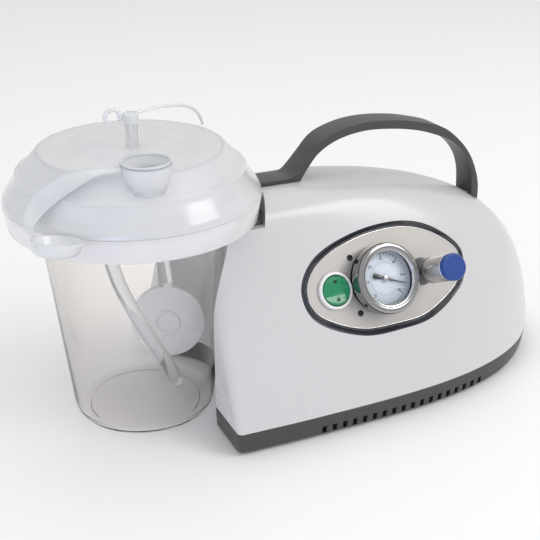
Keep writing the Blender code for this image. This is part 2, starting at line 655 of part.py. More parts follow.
def rear_inlet():
    x, z = INLET_AT
    t = (x - NOSE_START) / (nose_reach(z) - NOSE_START)
    y = side_width(z) * math.sqrt(1 - t ** 3)
    turn = facing((0.12, math.cos(LEAN), math.sin(LEAN)))
    frame = empty("inlet_frame", (x, y, z), turn)
    cut(bpy.data.objects["housing_shell"], box("inlet_cut", (28, 34, 20), (0, 0, 0), parent=frame))
    socket = box("power_inlet", (34, 40, 2.0), (0, 0, 2.6), "black", parent=frame, bevel=0.8)
    join(socket, box("inlet_body", (27, 33, 20), (0, 0, -7), parent=frame))
    cut(socket, box("inlet_well", (20, 15, 16), (0, 6.5, 0), parent=frame),
        box("fuse_well", (20, 9, 16), (0, -10, 0), parent=frame))
    for number, u in enumerate((-6, 0, 6), 1):
        join(socket, box(f"contact_{number}", (1.8, 4, 7), (u, 6.5, -6), parent=frame))
    box("fuse_drawer", (19.2, 8.2, 10), (0, -10, -1.5), "black", parent=frame, bevel=0.4)


# ---------------------------------------------------------------- canister
def canister():
    top, wall = JAR_TOP_RADIUS, JAR_WALL
    profile = [(0, 2.4), (JAR_BASE_RADIUS - 7, 2.4), (JAR_BASE_RADIUS - 3.5, 4), (JAR_BASE_RADIUS - 1.6, 8),
               (top - wall, COLLAR_Z), (top - wall, 137.6), (top + 2.2, 137.6), (top + 2.2, 135.8), (top, 135.8),
               (top, COLLAR_Z), (JAR_BASE_RADIUS, 8), (JAR_BASE_RADIUS - 2, 3), (JAR_BASE_RADIUS - 6, 0.4),
               (0, 0.4)]
    turned("canister", profile, (JAR_X, 0, 0), "clear", steps=36)
    collar = [(top + 2.6, 135.4), (COLLAR_RADIUS - 2.4, 135.4), (COLLAR_RADIUS - 4.0, COLLAR_Z),
              (COLLAR_RADIUS - 2.0, COLLAR_Z), (COLLAR_RADIUS, LID_Z - GAP), (top + 2.6, LID_Z - GAP)]
    ring = turned("canister_collar", collar, (JAR_X, 0, 0), "frosted", steps=40, closed=True)
    spigot = rod("dock_spigot", 4.6, 11.3, (DOCK_X, 0, 129.95), sides=24)
    join(ring, spigot)
    cut(ring, rod("spigot_bore", 2.0, 30, (DOCK_X, 0, 126), sides=16))


def lid():
    outer = [(0, 171.5), (25, 171.2), (34, 167.6), (52, 166.8), (54, 165.2), (62.8, 155.4), (65.4, 154.8),
             (66.4, 151.4), (72.8, 142.2), (COLLAR_RADIUS, LID_Z)]
    skirt = JAR_TOP_RADIUS - JAR_WALL - 0.9
    inner = [(71.6, LID_Z), (71.0, 141.4), (64.2, 151.0), (62.4, 153.2), (skirt, 163.9), (skirt, 133.0),
             (skirt - 1.6, 133.0), (skirt - 1.6, 165.0), (34, 165.8), (25, 169.2), (0, 169.6)]
    cover = turned("canister_lid", outer + inner, (JAR_X, 0, 0), "frosted", steps=36)
    x, y = CUP_AT
    cup = [(0, 154), (10.2, 154), (11.6, 160), (13.2, 168), (13.4, CUP_RIM_Z), (0, CUP_RIM_Z)]
    join(cover, turned("cup_solid", cup[::-1], (x, y, 0), steps=24))
    cut(cover, turned("cup_bore", [(0, 180), (11.9, 180), (11.9, 168), (10, 162), (4, 158.5), (4, 150), (0, 150)],
                      (x, y, 0), steps=24))
    # EXACT leaves these joints open, so they use the other solver.
    # The first is a window in the lid's inner wall, which lets the cup drain into the canister.
    towards_cup = facing((x - JAR_X, y, 0))
    drain = rod("cup_drain", 3.5, 16, (x - 0.9, y + 5.5, 147.5), turn=towards_cup, sides=16)
    combine(cover, drain, "DIFFERENCE", "MANIFOLD")
    u, v = PORT_AT
    port = turned("port_solid", [(0, PORT_TOP_Z), (3.2, PORT_TOP_Z), (3.6, 171), (3.6, 160), (0, 160)],
                  (u, v, 0), steps=12)
    combine(cover, port, "UNION", "MANIFOLD")
    combine(cover, rod("port_bore", 1.9, 60, (u, v, 170), sides=12), "DIFFERENCE", "MANIFOLD")


def lid_fittings():
    u, v = PORT_AT
    cap = [(0, 190.0), (3.9, 190.0), (4.5, 189.3), (4.5, 184.6), (3.9, 184.6), (3.6, 187.2), (0, 187.2)]
    cap_body = turned("port_cap", cap, (u, v, 0), "frosted", steps=24)
    curl = []
    for degrees in range(-60, 221, 28):
        a = math.radians(degrees)
        curl.append((u - 10.2 + 4.4 * math.cos(a), v, 188.6 + 4.4 * math.sin(a)))
    pull = tube("cap_pull", [(u - 2.5, v, 188.6), (u - 5.0, v, 187.6), *curl[2:]], 1.1, None, per_span=2)
    join(cap_body, as_mesh(pull))
    cap_strap = [(u + 4.9, v + 2.0, 189.2), (-19.5, -13, 189.6), (-3, -6, 188), (10, 4, 183), (18, 12, 176),
                 (22.5, 17.5, 168.8)]
    tube("port_cap_strap", cap_strap, 0.9, "frosted", per_span=3)

    x, y = CUP_AT
    strap = [(x - 14.0, y + 2.5, 171.5), (-62, -40, 171.5), (-75, -32, 167.8), (-86, -27.5, 160.8),
             (-93, -28.5, 152.5), (-97, -35, 146.5), (-98.6, -44, 143.8), (-98.2, -53.2, 143.2)]
    tube("cup_cap_strap", strap, 0.9, "frosted", per_span=3)
    # the cap hangs beside the collar, its open side up and tilted a little towards the lid
    inward = Vector((JAR_X - CAP_AT[0], -CAP_AT[1], 0)).normalized() * math.sin(CAP_TILT)
    opening = (inward.x, inward.y, math.cos(CAP_TILT))
    bowl = [(0, -6.2), (8, -6.0), (10.8, -4.2), (CAP_RADIUS - 1.2, 0), (CAP_RADIUS, 0), (12.4, -4.4), (9, -7.6),
            (0, -7.8)]
    turned("cup_cap", bowl, (*CAP_AT, CAP_RIM_Z), "frosted", facing(opening, (0, 1, 0)), steps=28)
    tube("dip_tube", [(u, v, 158), (u - 4, v, 146), (-49, -18, 122), (-47, -19, 98), (-34, -19, 64), (-18, -16, 32),
                      (-11, -12, 15)], 4.0, "tube", per_span=3)


def float_filter():
    """The round overflow filter that hangs inside the canister from the lid."""
    at = (-10.5, 0.5, 52.0)
    turn = facing((-0.42, -0.90, 0.1))
    frame = empty("filter_frame", at, turn)
    half = [(0, 4.4), (15, 4.2), (20.5, 2.6), (22.8, 2.2), (22.8, 0.5), (0, 0.5)]
    turned("filter_front", half, (0, 0, 0), "frosted", parent=frame, steps=32)
    turned("filter_rear", [(r, -z) for r, z in half[::-1]], (0, 0, 0), "frosted", parent=frame, steps=32)
    tube("filter_hose", [(-12, 3, 168.4), (-12, 3, 150), (-13, 2, 120), (-12, 1.5, 95), (-10.5, 1, 76)], 4.2,
         "tube", per_span=3)


def main():
    shell_and_base()
    bay_insert()
    handle()
    frame = control_panel()
    pump()
    air_lines(frame)
    rear_inlet()
    canister()
    lid()
    lid_fittings()
    float_filter()


clear_scene()
parts = new_collection("suction_pump", False)
cutters = new_collection("cutters", True)
root = bpy.data.objects.new("pump_frame", None)
parts.objects.link(root)
root.location = (-CENTRE_X * MM, 0, 0)
main()
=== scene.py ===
import math
import bmesh
import bpy
from mathutils import Matrix, Vector


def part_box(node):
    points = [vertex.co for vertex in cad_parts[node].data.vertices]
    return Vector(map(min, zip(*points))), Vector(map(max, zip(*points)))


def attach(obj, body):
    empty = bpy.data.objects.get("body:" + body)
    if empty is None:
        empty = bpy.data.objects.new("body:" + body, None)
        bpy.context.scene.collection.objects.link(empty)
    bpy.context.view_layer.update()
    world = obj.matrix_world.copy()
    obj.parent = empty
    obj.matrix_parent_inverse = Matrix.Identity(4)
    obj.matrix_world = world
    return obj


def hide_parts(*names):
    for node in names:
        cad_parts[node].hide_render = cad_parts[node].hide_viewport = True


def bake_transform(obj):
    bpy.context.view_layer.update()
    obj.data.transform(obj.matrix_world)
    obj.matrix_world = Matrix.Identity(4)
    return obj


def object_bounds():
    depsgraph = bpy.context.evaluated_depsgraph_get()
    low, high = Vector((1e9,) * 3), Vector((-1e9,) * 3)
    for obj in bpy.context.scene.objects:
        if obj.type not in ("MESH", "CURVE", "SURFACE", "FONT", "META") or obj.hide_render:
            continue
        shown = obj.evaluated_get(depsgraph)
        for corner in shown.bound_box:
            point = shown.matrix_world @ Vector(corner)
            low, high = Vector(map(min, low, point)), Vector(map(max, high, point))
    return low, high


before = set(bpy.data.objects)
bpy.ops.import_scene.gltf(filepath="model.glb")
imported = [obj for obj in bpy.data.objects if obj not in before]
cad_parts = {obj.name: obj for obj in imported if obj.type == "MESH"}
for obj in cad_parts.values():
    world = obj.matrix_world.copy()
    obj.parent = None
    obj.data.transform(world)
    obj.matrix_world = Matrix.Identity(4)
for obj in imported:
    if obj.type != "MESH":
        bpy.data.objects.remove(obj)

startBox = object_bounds()
mm = 0.001
scene = bpy.context.scene

# Sizes below are in millimetres, in the frame the part was drawn in: x from the housing's flat end,
# z from the table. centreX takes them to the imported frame.
jarLow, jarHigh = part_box("canister")
jar = {"x": -28.0, "topRadius": 55.0, "baseRadius": 43.5, "wall": 1.8}
centreX = jar["x"] - (jarLow[0] + jarHigh[0]) / 2 / mm
body = {"seam": 15.3, "top": 132.5, "curve": 2.45, "half": 86.0, "lean": math.radians(26), "topRadius": 24.0,
        "nose": 249.0, "noseStart": 60.0, "noseZ": 20.0, "skin": 2.6, "shelf": 118.0}
bay = {"radius": 57.0, "topRadius": 75.8}
panel = {"at": (109.0, -49.6, 77.3), "turn": math.radians(3), "ledge": -3.0, "switch": (-31.6, -0.7),
         "valve": (31.0, -1.1), "screws": ((-17.2, 16.7), (-17.6, -17.5))}
eggPoints = ((-55, 4), (-44, 20), (-14, 31), (22, 32), (44.5, 24), (62, 8),
             (62, -3), (58, -13), (30, -29.5), (6, -32), (-22, -30), (-51, -14))


# making pieces
def nothingSelected():
    if bpy.context.object and bpy.context.object.mode != "OBJECT":
        bpy.ops.object.mode_set(mode="OBJECT")
    bpy.ops.object.select_all(action="DESELECT")


def only(piece):
    nothingSelected()
    piece.select_set(True)
    bpy.context.view_layer.objects.active = piece
    return piece


def applyAll(piece):
    only(piece)
    for step in list(piece.modifiers):
        bpy.ops.object.modifier_apply(modifier=step.name)
    return piece


def tidyMesh(piece, capped=False):
    only(piece)
    bpy.ops.object.mode_set(mode="EDIT")
    bpy.ops.mesh.select_all(action="SELECT")
    bpy.ops.mesh.remove_doubles(threshold=2e-6)
    if capped:
        bpy.ops.mesh.fill_holes(sides=0)
        bpy.ops.mesh.select_all(action="SELECT")
    bpy.ops.mesh.normals_make_consistent(inside=False)
    bpy.ops.object.mode_set(mode="OBJECT")
    return piece


def settle(piece, where):
    # the piece's place goes into its mesh
    piece.matrix_world = where
    only(piece)
    bpy.ops.object.transform_apply(location=True, rotation=True, scale=True)
    return piece


def at(x, y, z):
    return Matrix.Translation(Vector(((x - centreX) * mm, y * mm, z * mm)))


def facing(direction, up=(0, 0, 1)):
    z = Vector(direction).normalized()
    x = Vector(up).cross(z).normalized()
    return Matrix((x, z.cross(x), z)).transposed().to_4x4()


alongX = facing((1, 0, 0))


def turnPiece(name, profile, where=Matrix(), sides=96, closed=False, rounding=0.0, sharp=28):
    # a circle is drawn out ring by ring through (radius, height)
    pole = 1e-4
    nothingSelected()
    bpy.ops.mesh.primitive_circle_add(vertices=sides, radius=max(profile[0][0], pole) * mm)
    piece = bpy.context.object
    piece.name = name
    bpy.ops.object.mode_set(mode="EDIT")
    bpy.ops.mesh.select_all(action="SELECT")
    bpy.ops.transform.translate(value=(0, 0, profile[0][1] * mm))
    if closed:
        profile = list(profile) + [profile[0]]
    for (r1, z1), (r2, z2) in zip(profile, profile[1:]):
        bpy.ops.mesh.extrude_edges_move(TRANSFORM_OT_translate={"value": (0, 0, (z2 - z1) * mm)})
        grow = max(r2, pole) / max(r1, pole)
        bpy.ops.transform.resize(value=(grow, grow, 1), center_override=(0, 0, z2 * mm))
    tidyMesh(piece)
    if rounding:
        roundEdges(piece, rounding, sharp)
    settle(piece, where)
    return smoothShade(piece)


def smoothShade(piece, angle=32):
    only(piece)
    bpy.ops.object.shade_smooth_by_angle(angle=math.radians(angle), keep_sharp_edges=False)
    return piece


def roundEdges(piece, width, sharp=40, segments=3):
    step = piece.modifiers.new("edges", "BEVEL")
    step.width = width * mm
    step.segments = segments
    step.limit_method = "ANGLE"
    step.angle_limit = math.radians(sharp)
    return applyAll(piece)


def skinRings(name, rings, loop=False, where=None):
    # a grid is laid out, then each of its rows becomes one ring
    count, rows = len(rings[0]), len(rings) if loop else len(rings) - 1
    nothingSelected()
    bpy.ops.mesh.primitive_grid_add(x_subdivisions=count, y_subdivisions=rows, size=1)
    piece = bpy.context.object
    piece.name = name
    for v in piece.data.vertices:
        i = round((v.co.x + 0.5) * count) % count
        j = round((v.co.y + 0.5) * rows) % len(rings)
        v.co = Vector(rings[j][i]) * mm
    tidyMesh(piece, capped=not loop)
    settle(piece, at(0, 0, 0) if where is None else where)
    return piece


def block(name, size, where, rounding=0.0, segments=3):
    nothingSelected()
    bpy.ops.mesh.primitive_cube_add(size=1)
    piece = bpy.context.object
    piece.name = name
    bpy.ops.object.mode_set(mode="EDIT")
    bpy.ops.mesh.select_all(action="SELECT")
    bpy.ops.transform.resize(value=[s * mm for s in size])
    bpy.ops.object.mode_set(mode="OBJECT")
    if rounding:
        roundEdges(piece, rounding, 30, segments)
    return settle(piece, where)


def drum(name, radius, length, where, sides=64):
    nothingSelected()
    bpy.ops.mesh.primitive_cylinder_add(vertices=sides, radius=radius * mm, depth=length * mm)
    piece = bpy.context.object
    piece.name = name
    return settle(piece, where)


def carve(piece, *tools, operation="DIFFERENCE"):
    for tool in tools:
        step = piece.modifiers.new("carve", "BOOLEAN")
        step.object = tool
        step.operation = operation
        step.solver = "EXACT"
        applyAll(piece)
        bpy.data.objects.remove(tool, do_unlink=True)
    return piece


def joined(name, pieces):
    nothingSelected()
    for piece in pieces:
        piece.select_set(True)
    bpy.context.view_layer.objects.active = pieces[0]
    bpy.ops.object.join()
    pieces[0].name = name
    return pieces[0]


def smoothPath(points, perSpan):
    inner = [Vector(p) for p in points]
    ends = [2 * inner[0] - inner[1], *inner, 2 * inner[-1] - inner[-2]]
    path = []
    for a, b, c, d in zip(ends, ends[1:], ends[2:], ends[3:]):
        before, span, after = [math.sqrt((q - p).length) for p, q in ((a, b), (b, c), (c, d))]
        slopeB = (c - b) + span * ((b - a) / before - (c - a) / (before + span))
        slopeC = (c - b) + span * ((d - c) / after - (d - b) / (span + after))
        for step in range(perSpan):
            t = step / perSpan
            path.append(b * (2 * t ** 3 - 3 * t ** 2 + 1) + slopeB * (t ** 3 - 2 * t ** 2 + t)
                        + c * (3 * t ** 2 - 2 * t ** 3) + slopeC * (t ** 3 - t ** 2))
    return path + [inner[-1]]


def hose(name, points, radius, perSpan=10, where=None, resolution=5, flat=1.0, tilt=0.0):
    # a round hose, or a flat strap where flat is under 1
    path = smoothPath(points, perSpan)
    nothingSelected()
    bpy.ops.curve.primitive_nurbs_path_add()
    line = bpy.context.object
    line.name = name
    line.data.splines.clear()
    spline = line.data.splines.new("POLY")
    spline.points.add(len(path) - 1)
    for point, p in zip(spline.points, path):
        point.co = (*(p * mm), 1)
        point.tilt = math.radians(tilt)
    if flat < 1:
        bpy.ops.curve.primitive_bezier_circle_add(radius=radius * mm)
        section = bpy.context.object
        section.data.resolution_u = 6
        section.scale = (1, flat, 1)
        only(section)
        bpy.ops.object.transform_apply(location=True, rotation=True, scale=True)
        line.data.bevel_mode = "OBJECT"
        line.data.bevel_object = section
    else:
        line.data.bevel_depth = radius * mm
        line.data.bevel_resolution = resolution
    line.data.use_fill_caps = True
    only(line)
    bpy.ops.object.convert(target="MESH")
    piece = bpy.context.object
    if flat < 1:
        bpy.data.objects.remove(section, do_unlink=True)
    tidyMesh(piece)
    settle(piece, at(0, 0, 0) if where is None else where)
    return smoothShade(piece, 50)


# the housing's shape
def noseReach(z):
    if z <= body["noseZ"]:
        return body["nose"] - 0.4 * (body["noseZ"] - z)
    rise = min(1.0, (z - body["noseZ"]) / (body["top"] - body["noseZ"]))
    return body["noseStart"] + (body["nose"] - body["noseStart"]) * (1 - rise ** body["curve"]) ** (1 / body["curve"])


def sideWidth(z):
    return body["half"] - (z - body["seam"]) * math.tan(body["lean"])


def outline(z, halfWidth, inset):
    nose, width = noseReach(z) - inset, halfWidth - inset
    corner = min(3 + (z - body["seam"]) * 0.09, 10, width - 1)
    start = max(body["noseStart"], inset)
    side = []
    for step in range(9):
        a = math.radians(178 - 10.5 * step)
        side.append((inset + corner * (1 + math.cos(a)), width * 0.985 - corner * (1 - math.sin(a))))
    for x, share in ((0.35, 0.9915), (0.55, 0.997), (0.78, 0.9993)):
        side.append((start * x, width * share))
    for step in range(45):
        t = math.sin(math.radians(2 * step))
        side.append((start + (nose - start) * t, width * math.sqrt(1 - t ** 3)))
    front = [(x, -y) for x, y in side]
    return front + [(nose, 0)] + [(x, y) for x, y in reversed(side)]


def housingCore(name, inset, bottom):
    centreZ = body["top"] - body["topRadius"]
    tangentZ = centreZ + body["topRadius"] * math.sin(body["lean"])
    levels = [(z, sideWidth(z)) for z in [body["seam"] + (tangentZ - body["seam"]) * k / 26 for k in range(27)]]
    centreY = sideWidth(tangentZ) - body["topRadius"] * math.cos(body["lean"])
    for step in range(1, 17):
        a = math.radians(26 + 4 * step)
        levels.append((centreZ + body["topRadius"] * math.sin(a), centreY + body["topRadius"] * math.cos(a)))
    shrink = (body["top"] - inset - body["seam"]) / (body["top"] - body["seam"])
    rings = []
    for level, width in levels:
        z = body["seam"] + (level - body["seam"]) * shrink
        if level == body["seam"]:
            z = bottom
        rings.append([(x, y, z) for x, y in outline(level, width, inset)])
    return skinRings(name, rings)


panelTurn = facing((math.sin(panel["turn"]) * math.cos(body["lean"]),
                    -math.cos(panel["turn"]) * math.cos(body["lean"]), math.sin(body["lean"])))
drawnPanel = Matrix.Translation(Vector(panel["at"])) @ panelTurn
onPanel = at(*panel["at"]) @ panelTurn


def skinHeight(u, v):
    low, high = -30.0, 30.0
    for _ in range(30):
        middle = (low + high) / 2
        x, y, z = drawnPanel @ Vector((u, v, middle))
        t = max(0.0, (x - body["noseStart"]) / (noseReach(z) - body["noseStart"]))
        if -y < sideWidth(z) * math.sqrt(max(0.0, 1 - t ** 3)):
            low = middle
        else:
            high = middle
    return low


def egg(left, right, perSpan=12):
    ends = (eggPoints[-1], *eggPoints, eggPoints[0], eggPoints[1])
    loop = smoothPath([(*p, 0) for p in ends], perSpan)[perSpan:-(perSpan + 1)]
    moved = []
    for i, p in enumerate(loop):
        run = loop[(i + 1) % len(loop)] - loop[i - 1]
        inward = Vector((run.y, -run.x, 0)).normalized()
        share = (p.x + 55) / 117
        moved.append(p + inward * (left * (1 - share) + right * share))
    return moved


# finishes
def link(tree, a, b):
    tree.links.new(a, b)


def makeGroup(name, inputs, outputs):
    group = bpy.data.node_groups.new(name, "ShaderNodeTree")
    for label, kind, value in inputs:
        socket = group.interface.new_socket(name=label, in_out="INPUT", socket_type=kind)
        socket.default_value = value
    for label, kind in outputs:
        group.interface.new_socket(name=label, in_out="OUTPUT", socket_type=kind)
    return group, group.nodes.new("NodeGroupInput"), group.nodes.new("NodeGroupOutput")


def noiseNode(tree, vector, scale, detail, rough=0.5):
    node = tree.nodes.new("ShaderNodeTexNoise")
    node.inputs["Detail"].default_value = detail
    node.inputs["Roughness"].default_value = rough
    link(tree, vector, node.inputs["Vector"])
    if isinstance(scale, (int, float)):
        node.inputs["Scale"].default_value = scale
    else:
        link(tree, scale, node.inputs["Scale"])
    return node


def rangeNode(tree, value, low, high, fromLow=0.0, fromHigh=1.0):
    node = tree.nodes.new("ShaderNodeMapRange")
    link(tree, value, node.inputs["Value"])
    for label, number in (("From Min", fromLow), ("From Max", fromHigh), ("To Min", low), ("To Max", high)):
        if isinstance(number, (int, float)):
            node.inputs[label].default_value = number
        else:
            link(tree, number, node.inputs[label])
    return node.outputs["Result"]


def mathNode(tree, kind, a, b):
    node = tree.nodes.new("ShaderNodeMath")
    node.operation = kind
    for socket, value in zip(node.inputs, (a, b)):
        if isinstance(value, (int, float)):
            socket.default_value = value
        else:
            link(tree, value, socket)
    return node.outputs[0]


def surfaceGroup():
    # fine moulded grain, broad blotches and sparse handling marks
    tree, gIn, gOut = makeGroup(
        "surfaceDetail",
        [("Grain Scale", "NodeSocketFloat", 900.0), ("Blotch Scale", "NodeSocketFloat", 14.0),
         ("Mark Scale", "NodeSocketFloat", 60.0)],
        [("Grain", "NodeSocketFloat"), ("Blotch", "NodeSocketFloat"), ("Marks", "NodeSocketFloat")])
    where = tree.nodes.new("ShaderNodeTexCoord").outputs["Object"]
    grain = noiseNode(tree, where, gIn.outputs["Grain Scale"], 4)
    blotch = noiseNode(tree, where, gIn.outputs["Blotch Scale"], 3)
    stretch = tree.nodes.new("ShaderNodeMapping")
    stretch.inputs["Scale"].default_value = (1, 1, 0.18)
    stretch.inputs["Rotation"].default_value = (0.5, 0.7, 0.2)
    link(tree, where, stretch.inputs["Vector"])
    marks = noiseNode(tree, stretch.outputs["Vector"], gIn.outputs["Mark Scale"], 6, 0.7)
    link(tree, grain.outputs["Fac"], gOut.inputs["Grain"])
    link(tree, blotch.outputs["Fac"], gOut.inputs["Blotch"])
    link(tree, rangeNode(tree, marks.outputs["Fac"], 0, 1, 0.6, 0.75), gOut.inputs["Marks"])
    return tree


def dustGroup():
    # a thin settled film on faces that look up, broken by noise
    tree, gIn, gOut = makeGroup(
        "settledDust", [("Amount", "NodeSocketFloat", 0.1), ("Scale", "NodeSocketFloat", 40.0)],
        [("Mask", "NodeSocketFloat")])
    where = tree.nodes.new("ShaderNodeTexCoord").outputs["Object"]
    normal = tree.nodes.new("ShaderNodeNewGeometry").outputs["Normal"]
    split = tree.nodes.new("ShaderNodeSeparateXYZ")
    link(tree, normal, split.inputs[0])
    up = rangeNode(tree, split.outputs["Z"], 0, 1, 0.3, 1.0)
    patch = noiseNode(tree, where, gIn.outputs["Scale"], 5, 0.6)
    broken = rangeNode(tree, patch.outputs["Fac"], 0, 1, 0.4, 0.7)
    link(tree, mathNode(tree, "MULTIPLY", mathNode(tree, "MULTIPLY", up, broken), gIn.outputs["Amount"]),
         gOut.inputs["Mask"])
    return tree


def edgeGroup():
    # a mask of the convex edges, where handling rubs
    tree, gIn, gOut = makeGroup("rubbedEdges", [("Start", "NodeSocketFloat", 0.52), ("Full", "NodeSocketFloat", 0.6)],
                                [("Mask", "NodeSocketFloat")])
    point = tree.nodes.new("ShaderNodeNewGeometry").outputs["Pointiness"]
    where = tree.nodes.new("ShaderNodeTexCoord").outputs["Object"]
    patch = noiseNode(tree, where, 70.0, 4, 0.6)
    edge = rangeNode(tree, point, 0, 1, gIn.outputs["Start"], gIn.outputs["Full"])
    link(tree, mathNode(tree, "MULTIPLY", edge, patch.outputs["Fac"]), gOut.inputs["Mask"])
    return tree


detail, dust, rubbed = surfaceGroup(), dustGroup(), edgeGroup()


def useGroup(tree, group, **values):
    node = tree.nodes.new("ShaderNodeGroup")
    node.node_tree = group
    for label, value in values.items():
        node.inputs[label.replace("_", " ")].default_value = value
    return node


def finish(name, colour, rough, metal=0.0, tint=0.06, grain=900.0, blotch=14.0, mark=60.0, bump=0.02, depth=0.2,
           roughSpread=0.06, dustAmount=0.05, dustColour=(0.55, 0.52, 0.48), wear=0.1, wearColour=None,
           paintedEdgeShade=None,
           letThrough=0.0, **sockets):
    made = bpy.data.materials.new(name)
    made.use_nodes = True
    tree = made.node_tree
    shade = tree.nodes["Principled BSDF"]
    surface = useGroup(tree, detail, Grain_Scale=grain, Blotch_Scale=blotch, Mark_Scale=mark)
    film = useGroup(tree, dust, Amount=dustAmount)
    edges = useGroup(tree, rubbed)
    shift = tree.nodes.new("ShaderNodeMix")
    shift.data_type = "RGBA"
    shift.inputs["A"].default_value = (*[c * (1 - tint) for c in colour], 1)
    shift.inputs["B"].default_value = (*[min(1.0, c * (1 + tint)) for c in colour], 1)
    link(tree, surface.outputs["Blotch"], shift.inputs["Factor"])
    rub = tree.nodes.new("ShaderNodeMix")
    rub.data_type = "RGBA"
    rub.inputs["B"].default_value = (*(wearColour or [min(1.0, c * 1.25 + 0.02) for c in colour]), 1)
    link(tree, mathNode(tree, "MULTIPLY", edges.outputs["Mask"], wear), rub.inputs["Factor"])
    link(tree, shift.outputs["Result"], rub.inputs["A"])
    dusty = tree.nodes.new("ShaderNodeMix")
    dusty.data_type = "RGBA"
    dusty.inputs["B"].default_value = (*dustColour, 1)
    link(tree, film.outputs["Mask"], dusty.inputs["Factor"])
    link(tree, rub.outputs["Result"], dusty.inputs["A"])
    link(tree, dusty.outputs["Result"], shade.inputs["Base Color"])
    if paintedEdgeShade:
        # painted shade: the base colour darkens where the clear plastic is seen edge on
        facingNode = tree.nodes.new("ShaderNodeLayerWeight")
        facingNode.inputs["Blend"].default_value = 0.35
        edgeShadeMix = tree.nodes.new("ShaderNodeMix")
        edgeShadeMix.data_type = "RGBA"
        edgeShadeMix.inputs["B"].default_value = (*paintedEdgeShade, 1)
        link(tree, facingNode.outputs["Facing"], edgeShadeMix.inputs["Factor"])
        link(tree, dusty.outputs["Result"], edgeShadeMix.inputs["A"])
        link(tree, edgeShadeMix.outputs["Result"], shade.inputs["Base Color"])
    soft = rangeNode(tree, surface.outputs["Blotch"], max(0.02, rough - roughSpread), rough + roughSpread, 0.3, 0.7)
    marked = mathNode(tree, "MULTIPLY_ADD", surface.outputs["Marks"], 0.05)
    marked.node.inputs[2].default_value = 0.0
    link(tree, soft, marked.node.inputs[2])
    link(tree, marked, shade.inputs["Roughness"])
    bumpNode = tree.nodes.new("ShaderNodeBump")
    bumpNode.inputs["Strength"].default_value = depth
    bumpNode.inputs["Distance"].default_value = bump * mm
    link(tree, surface.outputs["Grain"], bumpNode.inputs["Height"])
    link(tree, bumpNode.outputs["Normal"], shade.inputs["Normal"])
    if letThrough:
        # lamps reach what is inside a clear piece: shadow and diffuse rays pass, tinted
        path = tree.nodes.new("ShaderNodeLightPath")
        passing = mathNode(tree, "MAXIMUM", path.outputs["Is Shadow Ray"], path.outputs["Is Diffuse Ray"])
        clear = tree.nodes.new("ShaderNodeBsdfTransparent")
        clear.inputs["Color"].default_value = (0.97, 0.97, 0.97, 1)
        blendNode = tree.nodes.new("ShaderNodeMixShader")
        link(tree, mathNode(tree, "MULTIPLY", passing, letThrough), blendNode.inputs["Fac"])
        link(tree, shade.outputs["BSDF"], blendNode.inputs[1])
        link(tree, clear.outputs["BSDF"], blendNode.inputs[2])
        link(tree, blendNode.outputs["Shader"], tree.nodes["Material Output"].inputs["Surface"])
    shade.inputs["Metallic"].default_value = metal
    for label, value in sockets.items():
        shade.inputs[label.replace("_", " ")].default_value = value
    return made


